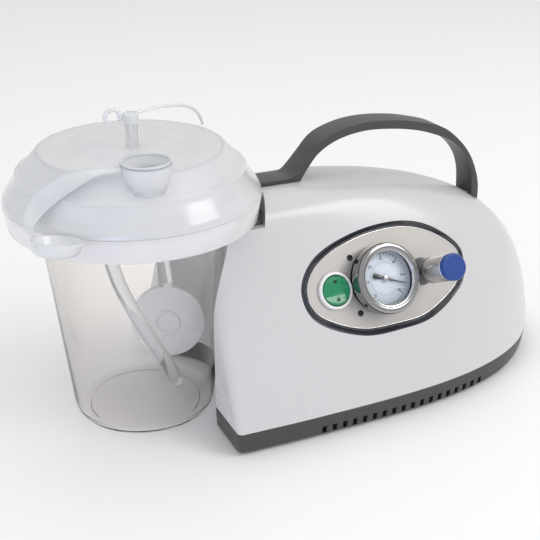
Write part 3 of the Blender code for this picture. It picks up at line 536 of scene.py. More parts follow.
look = {
    "shell": finish("shellWhite", (0.6, 0.598, 0.6), 0.28, roughSpread=0.02, tint=0.008, bump=0.03, depth=0.1,
                    wear=0.0,
                    dustAmount=0.02, Coat_Weight=0.3, Coat_Roughness=0.12),
    "dark": finish("darkGreyPlastic", (0.05, 0.049, 0.047), 0.42, tint=0.1, grain=1600.0, bump=0.06, depth=0.5,
                   wear=0.35, dustAmount=0.08),
    "navy": finish("bezelNavy", (0.022, 0.026, 0.036), 0.14, tint=0.08, bump=0.01, depth=0.1, wear=0.1,
                   Coat_Weight=0.6, Coat_Roughness=0.05),
    "silver": finish("plateSilver", (0.55, 0.525, 0.5), 0.34, metal=0.35, tint=0.03, grain=2600.0, bump=0.02,
                     depth=0.35, wear=0.05, dustAmount=0.03),
    "bright": finish("brightTrim", (0.82, 0.82, 0.82), 0.16, metal=1.0, tint=0.04, bump=0.01, depth=0.15, wear=0.0),
    "gunmetal": finish("gaugeRim", (0.34, 0.34, 0.345), 0.16, metal=1.0, tint=0.06, bump=0.01, depth=0.1, wear=0.15),
    "black": finish("blackPlastic", (0.012, 0.012, 0.013), 0.3, tint=0.15, bump=0.02, depth=0.3, wear=0.2),
    "white": finish("rimWhite", (0.84, 0.84, 0.83), 0.22, tint=0.015, bump=0.015, depth=0.1, wear=0.0,
                    Coat_Weight=0.3),
    # the rocker's emission is a painted glow
    "green": finish("rockerGreenPaintedGlow", (0.0, 0.19, 0.075), 0.16, tint=0.2, blotch=140.0, bump=0.02, depth=0.2, wear=0.0,
                    dustAmount=0.0, Coat_Weight=0.5, Emission_Color=(0.0, 0.35, 0.13, 1), Emission_Strength=0.12),
    "greenDark": finish("rockerMark", (0.0, 0.05, 0.022), 0.3, tint=0.1, bump=0.01, depth=0.2, wear=0.0),
    "blue": finish("capBlue", (0.012, 0.055, 0.27), 0.3, tint=0.08, bump=0.02, depth=0.3, wear=0.2,
                   wearColour=(0.1, 0.16, 0.4)),
    "knob": finish("knobSilver", (0.58, 0.58, 0.585), 0.26, metal=0.85, tint=0.05, grain=1800.0, bump=0.015,
                   depth=0.3, wear=0.1),
    "ferrule": finish("ferruleGrey", (0.17, 0.175, 0.18), 0.34, metal=0.7, tint=0.08, bump=0.02, depth=0.3),
    "dial": finish("dialPaper", (0.73, 0.8, 0.87), 0.5, tint=0.02, grain=2400.0, bump=0.01, depth=0.2, wear=0.0,
                   dustAmount=0.0),
    "ink": finish("dialInk", (0.03, 0.035, 0.045), 0.55, tint=0.1, bump=0.005, depth=0.1, wear=0.0, dustAmount=0.0),
    "greyInk": finish("dialGreyInk", (0.32, 0.36, 0.42), 0.55, tint=0.08, bump=0.005, depth=0.1, wear=0.0,
                      dustAmount=0.0),
    "lens": finish("lensClear", (0.98, 0.99, 1.0), 0.03, tint=0.0, roughSpread=0.01, bump=0.003, depth=0.05,
                   wear=0.0, dustAmount=0.0, letThrough=1.0, Transmission_Weight=1.0, IOR=1.3),
    # the jar's edge colour is painted shade, darkening it where it is seen edge on
    "jar": finish("jarClear", (0.985, 0.972, 0.96), 0.03, tint=0.006, roughSpread=0.015, grain=300.0, bump=0.04,
                  depth=0.08, wear=0.0, dustAmount=0.02, paintedEdgeShade=(0.7, 0.68, 0.66), letThrough=1.0,
                  Transmission_Weight=1.0, IOR=1.3),
    "milky": finish("lidMilky", (0.86, 0.87, 0.885), 0.2, tint=0.02, bump=0.03, depth=0.12, wear=0.0,
                    dustAmount=0.02, letThrough=0.45,
                    Transmission_Weight=0.5, IOR=1.4,
                    Coat_Weight=0.4, Coat_Roughness=0.06),
    "collar": finish("collarMilky", (0.86, 0.86, 0.87), 0.2, tint=0.02, bump=0.03, depth=0.12, wear=0.0,
                     dustAmount=0.02, letThrough=0.45,
                     Transmission_Weight=0.3, IOR=1.4,
                     Coat_Weight=0.4, Coat_Roughness=0.06),
    # the clear tubes' edge colour is painted shade, darkening them where they are seen edge on
    "softClear": finish("softClear", (0.94, 0.94, 0.94), 0.12, tint=0.015, bump=0.02, depth=0.15, wear=0.0,
                        dustAmount=0.02, paintedEdgeShade=(0.55, 0.55, 0.55), letThrough=0.8, Transmission_Weight=0.85,
                        IOR=1.3),
    "filter": finish("filterWhite", (0.9, 0.89, 0.88), 0.3, tint=0.02, bump=0.02, depth=0.15, wear=0.0,
                     dustAmount=0.0, letThrough=0.5, Transmission_Weight=0.4, IOR=1.3),
    "rubber": finish("blackRubber", (0.02, 0.02, 0.02), 0.7, tint=0.15, grain=1400.0, bump=0.05, depth=0.5,
                     wear=0.3, dustAmount=0.2),
    "steel": finish("machinedSteel", (0.48, 0.48, 0.49), 0.3, metal=1.0, tint=0.08, grain=2200.0, bump=0.01,
                    depth=0.3, wear=0.2),
    "copper": finish("windingCopper", (0.55, 0.21, 0.09), 0.35, metal=0.9, tint=0.2, grain=700.0, bump=0.15,
                     depth=0.8, wear=0.2),
    "cast": finish("castAlloy", (0.5, 0.5, 0.49), 0.5, metal=0.85, tint=0.08, grain=800.0, bump=0.12, depth=0.6,
                   wear=0.3),
}
print("finishes made")


def paint(piece, key):
    piece.data.materials.clear()
    piece.data.materials.append(look[key])
    return piece


def fit(piece, key, bodyName, slotName, *nodes):
    # a piece with no body is painted and left unattached
    paint(piece, key)
    if bodyName:
        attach(piece, bodyName)
    if nodes:
        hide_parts(*nodes)
    return piece


# camera
view = {"at": (-186.6, -532.8, 336.1), "azimuth": math.radians(-24.69), "elevation": math.radians(24.17),
        "roll": math.radians(-0.143), "lens": 67.67}
bpy.ops.object.camera_add()
camera = bpy.context.object
a, e = view["azimuth"], view["elevation"]
back = Vector((math.sin(a) * math.cos(e), -math.cos(a) * math.cos(e), math.sin(e)))
right = Vector((math.cos(a), math.sin(a), 0))
aim = Matrix((right, back.cross(right), back)).transposed() @ Matrix.Rotation(view["roll"], 3, "Z")
camera.matrix_world = at(*view["at"]) @ aim.to_4x4()
camera.data.lens = view["lens"]
camera.data.sensor_width = 36
scene.camera = camera

# housing
shell = housingCore("shell", 0.0, body["seam"])
hollow = housingCore("hollow", body["skin"], body["seam"] - 5)
carve(hollow, drum("wall", bay["radius"] + body["skin"], 400, at(jar["x"], 0, 60), 160),
      drum("wallTop", bay["topRadius"] + body["skin"], 60, at(jar["x"], 0, body["shelf"] - body["skin"] + 30), 160))
carve(shell, drum("bay", bay["radius"], 400, at(jar["x"], 0, 60), 160),
      drum("bayTop", bay["topRadius"], 60, at(jar["x"], 0, body["shelf"] + 30), 160), hollow)
opening = egg(-0.3, -0.3)
carve(shell, skinRings("opening", [[(p.x, p.y, h) for p in opening] for h in (-14, 20)], where=onPanel))
carve(shell, drum("dockHole", 5.3, 20, at(37, 0, body["shelf"]), 48))

inlet = {"x": 150.0, "z": 40.0}
reachShare = (inlet["x"] - body["noseStart"]) / (noseReach(inlet["z"]) - body["noseStart"])
inletY = sideWidth(inlet["z"]) * math.sqrt(1 - reachShare ** 3)
onInlet = at(inlet["x"], inletY, inlet["z"]) @ facing((0.12, math.cos(body["lean"]), math.sin(body["lean"])))
carve(shell, block("inletHole", (28, 34, 20), onInlet))
smoothShade(shell, 30)
for corner in shell.data.vertices:
    corner.co.x = min(corner.co.x, startBox[1][0])  # the nose ends where the frame's does
fit(shell, "shell", "housing", "shell_white", "housing_shell")
print("shell done", len(shell.data.polygons))

# base
base = {"floor": 5.0, "vents": 18, "pitch": 6.85, "start": 54.5, "ventZ": 5.0}


def baseRise(x):
    return 9.0 * max(0.0, (x - 185) / 62) ** 2


seam = body["seam"]
rings = []
for height, shrink, inset in ((1.2, 3.0, 2.0), (1.45, 2.0, 1.3), (2.2, 1.1, 0.8), (3.4, 0.6, 0.5),
                              (12.1, 0.05, 0.05), (12.6, 0.0, 0.0), (14.6, 0.0, 0.0), (15.0, 0.3, 0.25)):
    lift = 1.0 if height < 12 else 0.0
    rings.append([(x, y, height + lift * baseRise(x)) for x, y in outline(seam, sideWidth(seam) - shrink, inset)])
pan = skinRings("pan", rings)
tray = outline(seam, sideWidth(seam) - 3.0, 5.0)
trayPiece = skinRings("tray", [[(x, y, base["floor"] + baseRise(x)) for x, y in tray],
                               [(x, y, seam + 5) for x, y in tray]])
carve(trayPiece, drum("trayBay", bay["radius"] + 3, 60, at(jar["x"], 0, 10), 160))
carve(pan, drum("panBay", bay["radius"], 60, at(jar["x"], 0, 10), 160), trayPiece)
slots = []
for step in range(base["vents"]):
    x = base["start"] + step * base["pitch"]
    t = max(0.0, (x - body["noseStart"]) / (body["nose"] - body["noseStart"]))
    for side in (-1, 1):
        z = base["ventZ"] + baseRise(x)
        slots.append(block("vent", (3.0, 24.0, 5.0), at(x, side * sideWidth(seam) * math.sqrt(1 - t ** 3), z)))
carve(pan, joined("vents", slots))
feet = ((30, -66), (30, 66), (185, -48), (185, 48))
for number, (x, y) in enumerate(feet, 1):
    carve(pan, drum("pocket", 7.3, 4, at(x, y, 1.0), 48))
    foot = turnPiece(f"foot{number}", [(0, 2.7), (7, 2.7), (7, 1.2), (6.6, 0.25), (5.6, 0), (4.6, 0), (4.2, 0.5),
                                       (0, 0.5)],
                     at(x, y, 0), 64)
    fit(foot, "rubber", "housing", "soft_rubber", f"rubber_foot_{number}")
smoothShade(pan, 30)
fit(pan, "dark", "housing", "dark_grey", "base_pan")
print("base done")

# shelf and seal
for node, key in (("canister_bay", "dark"), ("dock_seal", "rubber")):
    paint(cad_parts[node], key)

# handle
outer = [(47.5, 135.2), (60, 135.2), (69, 135.8), (74.5, 140.5), (79.8, 146.3), (89.5, 156.3), (104, 161.9),
         (121, 164), (143.5, 162.4), (160.5, 158.9), (177, 153.4), (189.8, 143.4), (198.2, 133.3),
         (203.6, 122.5), (206.8, 111.2), (207.2, 92)]
inner = [(202, 92), (202, 105), (200.8, 119), (197.3, 129.2), (190.2, 138.6), (181.5, 144.9), (169.5, 150.2),
         (157.6, 154.1), (140, 157.4), (117.5, 158.7), (98.5, 155), (86.5, 148.2), (80, 140.5), (73.5, 131)]
rise = smoothPath([(*p, 0) for p in outer[1:]], 8)
fall = smoothPath([(*p, 0) for p in inner], 8)
side = [outer[0], *[(p.x, p.y) for p in rise], *[(p.x, p.y) for p in fall], (47.5, 128)]
grip = skinRings("grip", [[(x, y, z) for x, z in side] for y in (-9, 9)])
carve(grip, housingCore("seat", -0.3, body["seam"]))
carve(grip, drum("gripBay", bay["topRadius"], 60, at(jar["x"], 0, body["shelf"] + 30), 160))
roundEdges(grip, 1.1, 50, 4)
smoothShade(grip, 30)
fit(grip, "dark", "housing", "dark_grey", "carry_handle")
print("handle done")

# control panel
heights = [skinHeight(p.x, p.y) for p in egg(0, 0)]
rings = []
for left, rightOff, skinShare, drop in ((0, 0, 1, -1.6), (0, 0, 1, -0.45), (0.25, 0.2, 1, -0.1),
                                        (0.8, 0.5, 0.93, 0.0),
                                        (3.9, 1.25, 0.06, 0.15), (4.45, 1.5, 0, 0.0), (4.6, 1.6, 0, -0.35),
                                        (4.6, 1.6, 0, -3.0), (7, 4, 0, -3.0), (7, 4, 0, -4.6), (0, 0, 0, -4.6)):
    rings.append([(p.x, p.y, h * skinShare + drop) for p, h in zip(egg(left, rightOff), heights)])
bezel = skinRings("bezel", rings, loop=True, where=onPanel)
smoothShade(bezel, 40)
fit(bezel, "navy", "housing", "dark_grey", "panel_bezel")

trim = [(p.x, p.y, -0.25) for p in egg(5.2, 2.1)]
trimPiece = hose("trim", trim + [trim[0]], 0.35, 1, onPanel, 3)
fit(trimPiece, "bright", "housing", "bright_metal")

edge = egg(4.9, 1.9)
plate = skinRings("plate", [[(p.x, p.y, h) for p in edge] for h in (panel["ledge"] + 0.3, -0.3)], where=onPanel)
holes = [((0, 0), 20.2), (panel["switch"], 10.2), (panel["valve"], 5.2)] + [(s, 1.3) for s in panel["screws"]]
for (u, v), radius in holes:
    carve(plate, drum("hole", radius, 12, onPanel @ Matrix.Translation(Vector((u, v, -1.5)) * mm), 96))
smoothShade(plate, 30)
fit(plate, "silver", "housing", "panel_silver", "panel_plate")


def spot(u, v, w=0.0):
    return onPanel @ Matrix.Translation(Vector((u, v, w)) * mm)


for number, (u, v) in enumerate(panel["screws"], 1):
    screw = turnPiece(f"screw{number}", [(0, -0.3), (0.75, -0.3), (0.8, 0.35), (1.3, 0.42), (1.85, 0.12), (1.9, 0.0),
                                         (1.0, -0.05), (1.0, -6), (0, -6)], spot(u, v), 40)
    fit(screw, "black", "housing", "machined_steel", f"panel_screw_{number}")

# gauge: case, rim, dial, print, needle and window
gaugeCase = turnPiece("gaugeCase", [(0, 4.6), (18.8, 4.6), (18.8, 10.2), (19.6, 10.2), (19.6, -9), (14, -11),
                                    (5, -11), (5, -20), (0, -20)], onPanel, 96, rounding=0.2)
fit(gaugeCase, "black", "housing", "black_plastic", "gauge_case")
rim = turnPiece("gaugeRim", [(17.2, 12.15), (17.5, 12.55), (18.2, 12.85), (19.2, 12.9), (20.4, 12.75), (21.2, 12.3),
                             (21.6, 11.5), (21.7, 10.6), (21.7, 5.0), (21.5, 4.3), (21.0, 4.0), (20.0, 4.0),
                             (20.0, 10.6), (17.2, 10.6)], onPanel, 128, closed=True)
fit(rim, "gunmetal", "housing", "bright_metal", "gauge_bezel")
lip = turnPiece("gaugeLip", [(16.7, 12.0), (16.9, 12.35), (17.2, 12.4), (17.2, 10.7), (16.9, 10.4), (16.7, 10.5)],
                onPanel, 128, closed=True)
fit(lip, "bright", "housing", "bright_metal")
face = turnPiece("dialFace", [(0.9, 5.8), (18.0, 5.8), (18.4, 5.6), (18.4, 4.9), (0.9, 4.9)], onPanel, 128,
                 closed=True)
fit(face, "dial", "housing", "dial_face", "gauge_dial")
window = turnPiece("window", [(0, 10.15), (17.9, 10.15), (18.3, 9.9), (18.3, 9.2), (18.0, 9.0), (0, 9.0)], onPanel,
                   96)
fit(window, "lens", "housing", "gauge_glass", "gauge_lens")

dial = {"from": -46.0, "to": 226.0, "major": 6, "minor": 5, "outer": 15.6, "ink": 5.85}
marks = []
count = dial["major"] * dial["minor"]
for step in range(count + 1):
    turnBy = math.radians(dial["from"] + (dial["to"] - dial["from"]) * step / count)
    big = step % dial["minor"] == 0
    length, width = (2.4, 0.42) if big else (1.3, 0.2)
    stand = onPanel @ Matrix.Rotation(turnBy, 4, "Z") @ Matrix.Translation(
        Vector((dial["outer"] - length / 2, 0, dial["ink"])) * mm)
    marks.append(block("mark", (length, width, 0.06), stand))
fit(joined("dialMarks", marks), "ink", "housing", "black_plastic")


def arc(name, radius, width, key):
    # a printed arc: one short bar is spun about the dial's middle
    nothingSelected()
    bpy.ops.mesh.primitive_plane_add(size=1)
    piece = bpy.context.object
    piece.name = name
    bpy.ops.object.mode_set(mode="EDIT")
    bpy.ops.mesh.select_all(action="SELECT")
    bpy.ops.mesh.delete(type="ONLY_FACE")
    bpy.ops.object.mode_set(mode="OBJECT")
    keep = bmesh.new()
    keep.from_mesh(piece.data)
    for v in [v for v in keep.verts if v.co.y > 0]:
        keep.verts.remove(v)
    for v in keep.verts:
        v.co = Vector((radius + (width / 2 if v.co.x > 0 else -width / 2), 0, dial["ink"] + 0.03)) * mm
    keep.to_mesh(piece.data)
    keep.free()
    bpy.ops.object.mode_set(mode="EDIT")
    bpy.ops.mesh.select_all(action="SELECT")
    bpy.ops.transform.rotate(value=-math.radians(dial["from"]), orient_axis="Z", center_override=(0, 0, 0))
    bpy.ops.mesh.spin(steps=72, angle=math.radians(dial["to"] - dial["from"]), center=(0, 0, 0), axis=(0, 0, 1))
    bpy.ops.object.mode_set(mode="OBJECT")
    thick = piece.modifiers.new("thick", "SOLIDIFY")
    thick.thickness = 0.06 * mm
    applyAll(piece)
    tidyMesh(piece)
    settle(piece, onPanel)
    return fit(piece, key, "housing", "black_plastic")


arc("outerArc", 15.7, 0.22, "ink")
arc("innerArc", 9.9, 0.18, "greyInk")
for step in range(dial["major"] + 1):
    turnBy = math.radians(dial["to"] - (dial["to"] - dial["from"]) * step / dial["major"])
    nothingSelected()
    bpy.ops.object.text_add()
    number = bpy.context.object
    number.data.body = str(step * 15)
    number.data.size = 2.5 * mm
    number.data.extrude = 0.03 * mm
    number.data.align_x = "CENTER"
    number.data.align_y = "CENTER"
    bpy.ops.object.convert(target="MESH")
    number.name = f"dialNumber{step}"
    settle(number, spot(12.2 * math.cos(turnBy), 12.2 * math.sin(turnBy), dial["ink"] + 0.03))
    fit(number, "ink", "housing", "black_plastic")

pointer = [(14.5, 0.18), (7, 0.42), (2.2, 0.75), (0, 1.0), (-2.6, 0.95), (-4.5, 1.35), (-7.6, 1.8), (-8.5, 1.4),
           (-8.5, -1.4), (-7.6, -1.8), (-4.5, -1.35), (-2.6, -0.95), (0, -1.0), (2.2, -0.75), (7, -0.42),
           (14.5, -0.18)]
needleTurn = Matrix.Rotation(math.radians(-22), 4, "Z")
needle = skinRings("needle", [[(x, y, z) for x, y in pointer] for z in (6.6, 7.2)], where=onPanel @ needleTurn)
roundEdges(needle, 0.12, 50, 2)
fit(smoothShade(needle), "black", "needle", "black_plastic", "gauge_needle")
hub = turnPiece("needleHub", [(0, 8.1), (1.2, 8.1), (1.9, 7.8), (2.0, 7.3), (2.0, 6.5), (0, 6.5)], onPanel, 48)
fit(hub, "steel", "needle", "black_plastic")
print("gauge done")

# power switch
onSwitch = spot(*panel["switch"])
ring = turnPiece("switchRing", [(9.6, 1.9), (9.8, 2.15), (10.3, 2.2), (10.9, 1.95), (11.35, 1.4), (11.5, 0.8),
                                (11.5, 0.1),
                                (9.9, 0.1), (9.9, -16), (8.0, -16), (8.0, -8), (9.6, -4)], onSwitch, 96, closed=True)
fit(ring, "white", "housing", "shell_white", "switch_bezel")
onRocker = spot(*panel["switch"], -1.5)
rocker = turnPiece("rocker", [(0, 4.2), (7.6, 4.2), (8.9, 3.2), (8.9, -0.8), (6.0, -3.0), (0, -3.0)], Matrix(), 96)
scoop = drum("scoop", 30, 30, Matrix.Translation(Vector((0, 0, 33.2)) * mm) @ alongX, 256)
carve(rocker, scoop)
roundEdges(rocker, 0.35, 35, 3)
settle(rocker, onRocker)
fit(smoothShade(rocker), "green", "rocker", "rocker_green", "switch_rocker")
for label, v in (("upper", 5.4), ("lower", -5.4)):
    depthAt = 33.2 - math.sqrt(30 ** 2 - v ** 2)
    dot = turnPiece(f"rockerMark{label.title()}", [(0, 0.16), (0.9, 0.14), (1.25, 0.0), (1.25, -0.5), (0, -0.5)],
                    onRocker @ Matrix.Translation(Vector((0, v, depthAt)) * mm)
                    @ Matrix.Rotation(math.asin(v / 30), 4, "X"), 32)
    fit(dot, "greenDark", "rocker", "rocker_green")

# regulator: ferrule, grip and coloured end
onKnob = spot(*panel["valve"])
valveBody = turnPiece("valveBody", [(2.4, -19.4), (2.4, 6.0), (4.2, 6.0), (6.2, 5.2), (8.6, 0.4), (8.4, 0.0),
                                    (5.0, 0.0),
                                    (5.0, -6), (8.5, -6), (8.5, -21), (0, -21), (0, -19.4)], onKnob, 64, closed=True)
fit(valveBody, "ferrule", "housing", "dark_grey")
paint(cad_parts["regulator_valve"], "dark")
stem = turnPiece("knobGrip", [(0, 33.0), (5.6, 33.0), (5.6, 31.5), (7.9, 31.5), (8.2, 31.2), (8.2, 12.7), (8.0, 12.2),
                              (7.4, 11.2), (6.6, 6.6), (2.1, 6.6), (2.1, -18), (0, -18)], Matrix(), 96)
groove = block("groove", (3.0, 0.7, 14.0), Matrix.Translation(Vector((8.6, 0, 24)) * mm), 0.2, 2)
carve(stem, groove)
settle(stem, onKnob @ Matrix.Rotation(math.radians(-82), 4, "Z"))
fit(smoothShade(stem), "knob", "knob", "panel_silver", "regulator_knob")
collarRing = turnPiece("knobBand", [(7.6, 12.0), (8.35, 12.2), (8.35, 13.4), (7.6, 13.6)], onKnob, 96, closed=True)
fit(collarRing, "ferrule", "knob", "panel_silver")
cap = turnPiece("knobCap", [(0, 35.5), (6.8, 35.5), (7.1, 35.75), (7.7, 35.7), (8.2, 35.2), (8.3, 34.8), (8.3, 32.0),
                            (8.1, 31.8), (5.9, 31.8), (5.9, 33.3), (0, 33.3)], onKnob, 96)
fit(cap, "blue", "knob", "knob_blue", "knob_cap")
print("panel done")

# rear inlet
socket = block("socketFace", (34, 40, 2.0), onInlet @ Matrix.Translation(Vector((0, 0, 2.6)) * mm), 0.8, 3)
carve(socket, block("socketBody", (27, 33, 20), onInlet @ Matrix.Translation(Vector((0, 0, -7)) * mm)),
      operation="UNION")
carve(socket, block("well", (20, 15, 16), onInlet @ Matrix.Translation(Vector((0, 6.5, 0)) * mm)),
      block("fuseWell", (20, 9, 16), onInlet @ Matrix.Translation(Vector((0, -10, 0)) * mm)))
fit(smoothShade(socket), "black", "housing", "black_plastic", "power_inlet")
blades = [block("blade", (1.8, 4, 7), onInlet @ Matrix.Translation(Vector((u, 6.5, -6)) * mm), 0.3, 2)
          for u in (-6, 0, 6)]
fit(joined("socketBlades", blades), "bright", "housing", "bright_metal")
drawer = block("fuseDrawer", (19.2, 8.2, 10), onInlet @ Matrix.Translation(Vector((0, -10, -1.5)) * mm), 0.5, 3)
carve(drawer, block("nick", (6, 2, 3), onInlet @ Matrix.Translation(Vector((0, -13.6, 3.2)) * mm), 0.3, 2))
fit(smoothShade(drawer), "black", "fuse", "black_plastic", "fuse_drawer")
for side in (-14.5, 14.5):
    screw = turnPiece("inletScrew" + ("A" if side < 0 else "B"),
                      [(0, 3.75), (0.7, 3.75), (0.8, 4.3), (1.4, 4.25), (2.0, 3.7),
                      (2.0, 3.4), (0, 3.4)], onInlet @ Matrix.Translation(Vector((side, 16, 0)) * mm), 32)
    fit(screw, "steel", "housing", "machined_steel")

# canister
onJar = at(jar["x"], 0, 0)
top, wall, low = jar["topRadius"], jar["wall"], jar["baseRadius"]
jarPiece = turnPiece("jar", [
    (0, 2.9), (2.2, 2.8), (3.2, 2.4), (4.6, 2.3), (14, 2.3), (15.2, 2.55), (16.4, 2.3), (24, 2.3), (25.2, 2.55),
    (26.4, 2.3), (low - 7.5, 2.3), (low - 5, 3.0), (low - 3.2, 4.6), (low - 2.2, 6.8), (low - 1.7, 9.5),
    (top - wall, 124.4), (top - wall, 137.3), (top - wall + 0.4, 137.6), (top + 1.9, 137.6), (top + 2.2, 137.3),
    (top + 2.2, 135.9), (top + 2.0, 135.6), (top, 135.4), (top, 124.4), (low + 0.1, 9.0), (low - 0.3, 6.0),
    (low - 1.4, 3.2),
    (low - 3.2, 1.2), (low - 6, 0.45), (low - 9, 0.4), (low - 9.4, 1.0), (20, 1.2), (0, 1.2)], onJar, 160)
fit(jarPiece, "jar", "canister_body", "canister_clear", "canister")

collarTop = 138.2
ringRadius = 73.8
collar = turnPiece("collar", [(top + 2.6, 135.4), (ringRadius - 2.4, 135.4), (ringRadius - 4.0, 124.8),
                              (ringRadius - 3.7, 124.4),
                              (ringRadius - 2.3, 124.4), (ringRadius - 1.9, 124.9), (ringRadius, 137.3),
                              (ringRadius, 138.0), (ringRadius - 0.3, collarTop), (top + 2.6, collarTop)], onJar,
                              192, closed=True)
fit(collar, "collar", "canister_body", "frosted", "canister_collar")
spigot = turnPiece("spigot", [(2.0, 124.3), (4.4, 124.3), (4.6, 124.6), (4.6, 135.6), (2.0, 135.6)], at(37, 0, 0),
                   48, closed=True)
fit(spigot, "collar", "canister_body", "frosted")

# lid
lidProfile = [(0, 171.5), (20, 171.35), (24.5, 171.15), (26.5, 170.6), (32, 168.2), (34.5, 167.55), (40, 167.3),
              (50.5, 166.9),
              (52.6, 166.5), (54, 165.4), (62.2, 156.1), (63.0, 155.5), (64.8, 155.0), (65.4, 154.5), (65.9, 152.9),
              (66.6, 151.2), (72.6, 142.6), (73.2, 141.4), (ringRadius, 138.9), (ringRadius, 138.5),
              (71.6, 138.5), (71.0, 141.4), (64.2, 151.0), (62.4, 153.2), (52.3, 163.9), (52.3, 133.3), (52.0, 133.0),
              (51.0, 133.0), (50.7, 133.3), (50.7, 165.0), (34, 165.8), (25, 169.2), (0, 169.6)]
lid = turnPiece("lid", lidProfile, onJar, 192)
cup = {"x": -35.5, "y": -51.0}
carve(lid, drum("cupRoom", 11.6, 30, at(cup["x"], cup["y"], 172), 96))
smoothShade(lid, 32)
fit(lid, "milky", "lid", "frosted", "canister_lid")
cupPiece = turnPiece("cup", [(11.9, 173.2), (12.2, 173.5), (13.1, 173.5), (13.4, 173.2), (13.3, 169), (12.4, 163),
                             (11.4, 158.8),
                             (10.2, 154.2), (9.6, 154.0), (3.2, 154.0), (3.2, 158.3), (4.2, 158.7), (8.8, 160.7),
                             (10.2, 162.2), (11.4, 167.0)], at(cup["x"], cup["y"], 0), 96, closed=True)
fit(cupPiece, "milky", "lid", "frosted")
cupRing = turnPiece("cupRing", [(13.25, 172.6), (13.6, 172.5), (13.6, 171.9), (13.2, 171.8)],
                    at(cup["x"], cup["y"], 0), 96,
                    closed=True)
fit(cupRing, "greyInk", "lid", "frosted")
port = {"x": -32.0, "y": -17.4}
onPort = at(port["x"], port["y"], 0)
portPiece = turnPiece("port", [(1.9, 186.5), (3.0, 186.5), (3.2, 186.2), (3.5, 172.6), (4.3, 171.2), (4.3, 170.6),
                               (1.9, 170.6)],
                      onPort, 64, closed=True)
fit(portPiece, "softClear", "lid", "frosted")
portCap = turnPiece("portCap", [(0, 190.0), (3.5, 190.0), (4.1, 189.7), (4.5, 189.1), (4.5, 184.8), (4.3, 184.6),
                                (4.0, 184.6), (3.8, 184.9), (3.7, 187.2), (0, 187.2)], onPort, 64)
fit(portCap, "milky", "port_cap_body", "frosted", "port_cap")
curl = []
for degrees in range(-60, 221, 20):
    turnBy = math.radians(degrees)
    curl.append((port["x"] - 10.2 + 4.05 * math.cos(turnBy), port["y"], 188.6 + 4.05 * math.sin(turnBy)))
pull = hose("capPull", [(port["x"] - 2.5, port["y"], 188.6), (port["x"] - 5.0, port["y"], 187.8), *curl[2:]], 1.25, 3,
            resolution=6)
fit(pull, "milky", "port_cap_body", "frosted")
portStrap = hose("portStrap", [(port["x"] + 4.4, port["y"] + 1.8, 189.2), (-19.5, -13, 189.6), (-3, -6, 188),
                               (10, 4, 183), (18, 12, 176), (22.5, 17.5, 168.2)], 0.95, 10, resolution=6)
fit(portStrap, "milky", None, "frosted", "port_cap_strap")
# the cup's strap is a flat clear band, widest at its bend, with a bead along each edge
upper = [(cup["x"] - 13.4, cup["y"] + 2.1, 170.8), (-62, -42.5, 170.2), (-75, -36, 166.6), (-86, -31, 159.9),
         (-93, -30, 152.2), (-97, -35, 146.5), (-98.6, -44, 143.8), (-98.4, -52.6, 143.0)]
spread = [(0.0, -2.5, -1.5), (0.5, -5.0, -2.5), (2.0, -9.0, -5.0), (4.0, -10.0, -5.5), (4.5, -10.0, -3.0),
          (3.0, -8.0, -1.0), (2.0, -5.0, 0.0), (1.2, -3.0, 0.0)]
lower = [tuple(a + b for a, b in zip(p, q)) for p, q in zip(upper, spread)]
near, far = smoothPath(upper, 10), smoothPath(lower, 10)
rings = []
for i, (p, q) in enumerate(zip(near, far)):
    along = near[min(i + 1, len(near) - 1)] - near[max(i - 1, 0)]
    off = along.cross(q - p).normalized() * 0.25
    rings.append([p + off, q + off, q - off, p - off])
band = smoothShade(skinRings("cupBand", rings), 40)
beads = [hose("bead", line, 0.6, 10, resolution=5) for line in (upper, lower)]
cupStrap = joined("cupStrap", [band, *beads])
fit(cupStrap, "milky", None, "frosted", "cup_cap_strap")

capAt, capTilt = (-88.0, -63.9, 142.8), math.radians(12)
lean = Vector((jar["x"] - capAt[0], -capAt[1], 0)).normalized() * math.sin(capTilt)
onCap = at(*capAt) @ facing((lean.x, lean.y, math.cos(capTilt)), (0, 1, 0))
cupCap = turnPiece("cupCap", [(0, -6.2), (7.4, -6.1), (9.6, -5.3), (10.9, -3.9), (12.0, -0.4), (12.3, 0), (13.1, 0),
                              (13.4, -0.3),
                              (13.3, -1.2), (12.5, -4.6), (11.4, -6.4), (9.4, -7.5), (7.4, -7.8), (0, -7.8)], onCap,
                              96)
fit(cupCap, "milky", "cup_cap_body", "frosted", "cup_cap")
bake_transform(portStrap)
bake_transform(cupStrap)
print("lid done")

# inside the canister
onFilter = at(-10.5, 0.5, 52.0) @ facing((-0.42, -0.90, 0.1))
half = [(0, 4.4), (6, 4.4), (6.6, 4.9), (7.4, 4.9), (8, 4.35), (15, 4.2), (20.5, 2.6), (22.4, 2.3), (22.8, 1.9),
        (22.8, 0.5), (0, 0.5)]
for name, node, flip in (("filterFront", "filter_front", 1), ("filterRear", "filter_rear", -1)):
    profile = half if flip == 1 else [(r, -z) for r, z in half[::-1]]
    fit(turnPiece(name, profile, onFilter, 96), "filter", "lid", "frosted", node)
filterHose = hose("filterHose", [(-12, 3, 168.4), (-12, 3, 150), (-13, 2, 120), (-12, 1.5, 95), (-10.5, 1, 76)],
                  4.2, 10)
fit(filterHose, "softClear", "lid", "clear_tube", "filter_hose")
u, v = port["x"], port["y"]
dip = hose("dipTube", [(u, v, 158), (u - 4, v, 146), (-49, -18, 122), (-47, -19, 98), (-34, -19, 64), (-18, -16, 32),
                       (-11, -12, 15)], 4.0, 10)
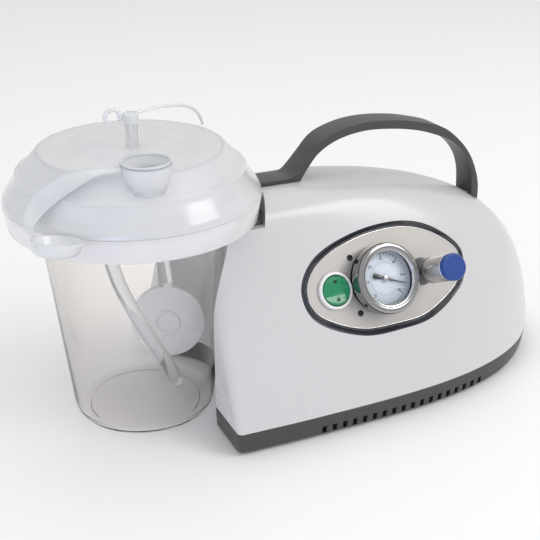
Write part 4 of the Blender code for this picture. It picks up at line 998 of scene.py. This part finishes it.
fit(dip, "softClear", "lid", "clear_tube", "dip_tube")

# inside the housing
inside = {
    "steel": ("mount_plate", "rotor_shaft", "crank", "valve_plate", "stator_core"),
    "cast": ("crankcase", "connecting_rod", "cylinder", "cylinder_head", "bearing_bracket_front",
             "bearing_bracket_rear"),
    "copper": ("winding_front", "winding_rear"),
    "black": ("cooling_fan", "exhaust_silencer"),
    "softClear": ("dock_hose", "suction_hose", "exhaust_hose", "gauge_hose"),
    "rubber": ("vibration_mount_1", "vibration_mount_2", "vibration_mount_3", "vibration_mount_4"),
}
for key, names in inside.items():
    for name in names:
        paint(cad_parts[name], key)
print("insides painted")

# stage
nothingSelected()
bpy.ops.mesh.primitive_plane_add(size=8)
floor = bpy.context.object
floor.name = "floor"
floorLook = bpy.data.materials.new("floorPale")
floorLook.use_nodes = True
floorShade = floorLook.node_tree.nodes["Principled BSDF"]
floorShade.inputs["Base Color"].default_value = (0.93, 0.93, 0.93, 1)
floorShade.inputs["Roughness"].default_value = 0.6
floor.data.materials.append(floorLook)

lamps = {
    "key": ((1.1, -1.0, 1.3), 0.9, 12, (1.0, 0.97, 0.94)),
    "left": ((-1.6, -0.5, 0.7), 1.0, 3, (0.85, 0.89, 1.0)),
    "front": ((-0.9, -1.3, 0.1), 0.5, 3.5, (0.45, 0.55, 1.0)),
    "top": ((0.0, 0.3, 1.9), 1.8, 6, (1.0, 1.0, 1.0)),
}
for name, (place, size, power, tone) in lamps.items():
    bpy.ops.object.light_add(type="AREA", location=place)
    lamp = bpy.context.object
    lamp.name = name
    lamp.data.size = size
    lamp.data.energy = power
    lamp.data.color = tone
    lamp.rotation_euler = (Vector((0, 0, 0.08)) - Vector(place)).to_track_quat("-Z", "Y").to_euler()
sky = bpy.data.worlds.new("paleSky")
sky.use_nodes = True
sky.node_tree.nodes["Background"].inputs["Color"].default_value = (1, 1, 1, 1)
sky.node_tree.nodes["Background"].inputs["Strength"].default_value = 0.72
scene.world = sky
scene.view_settings.view_transform = "Standard"
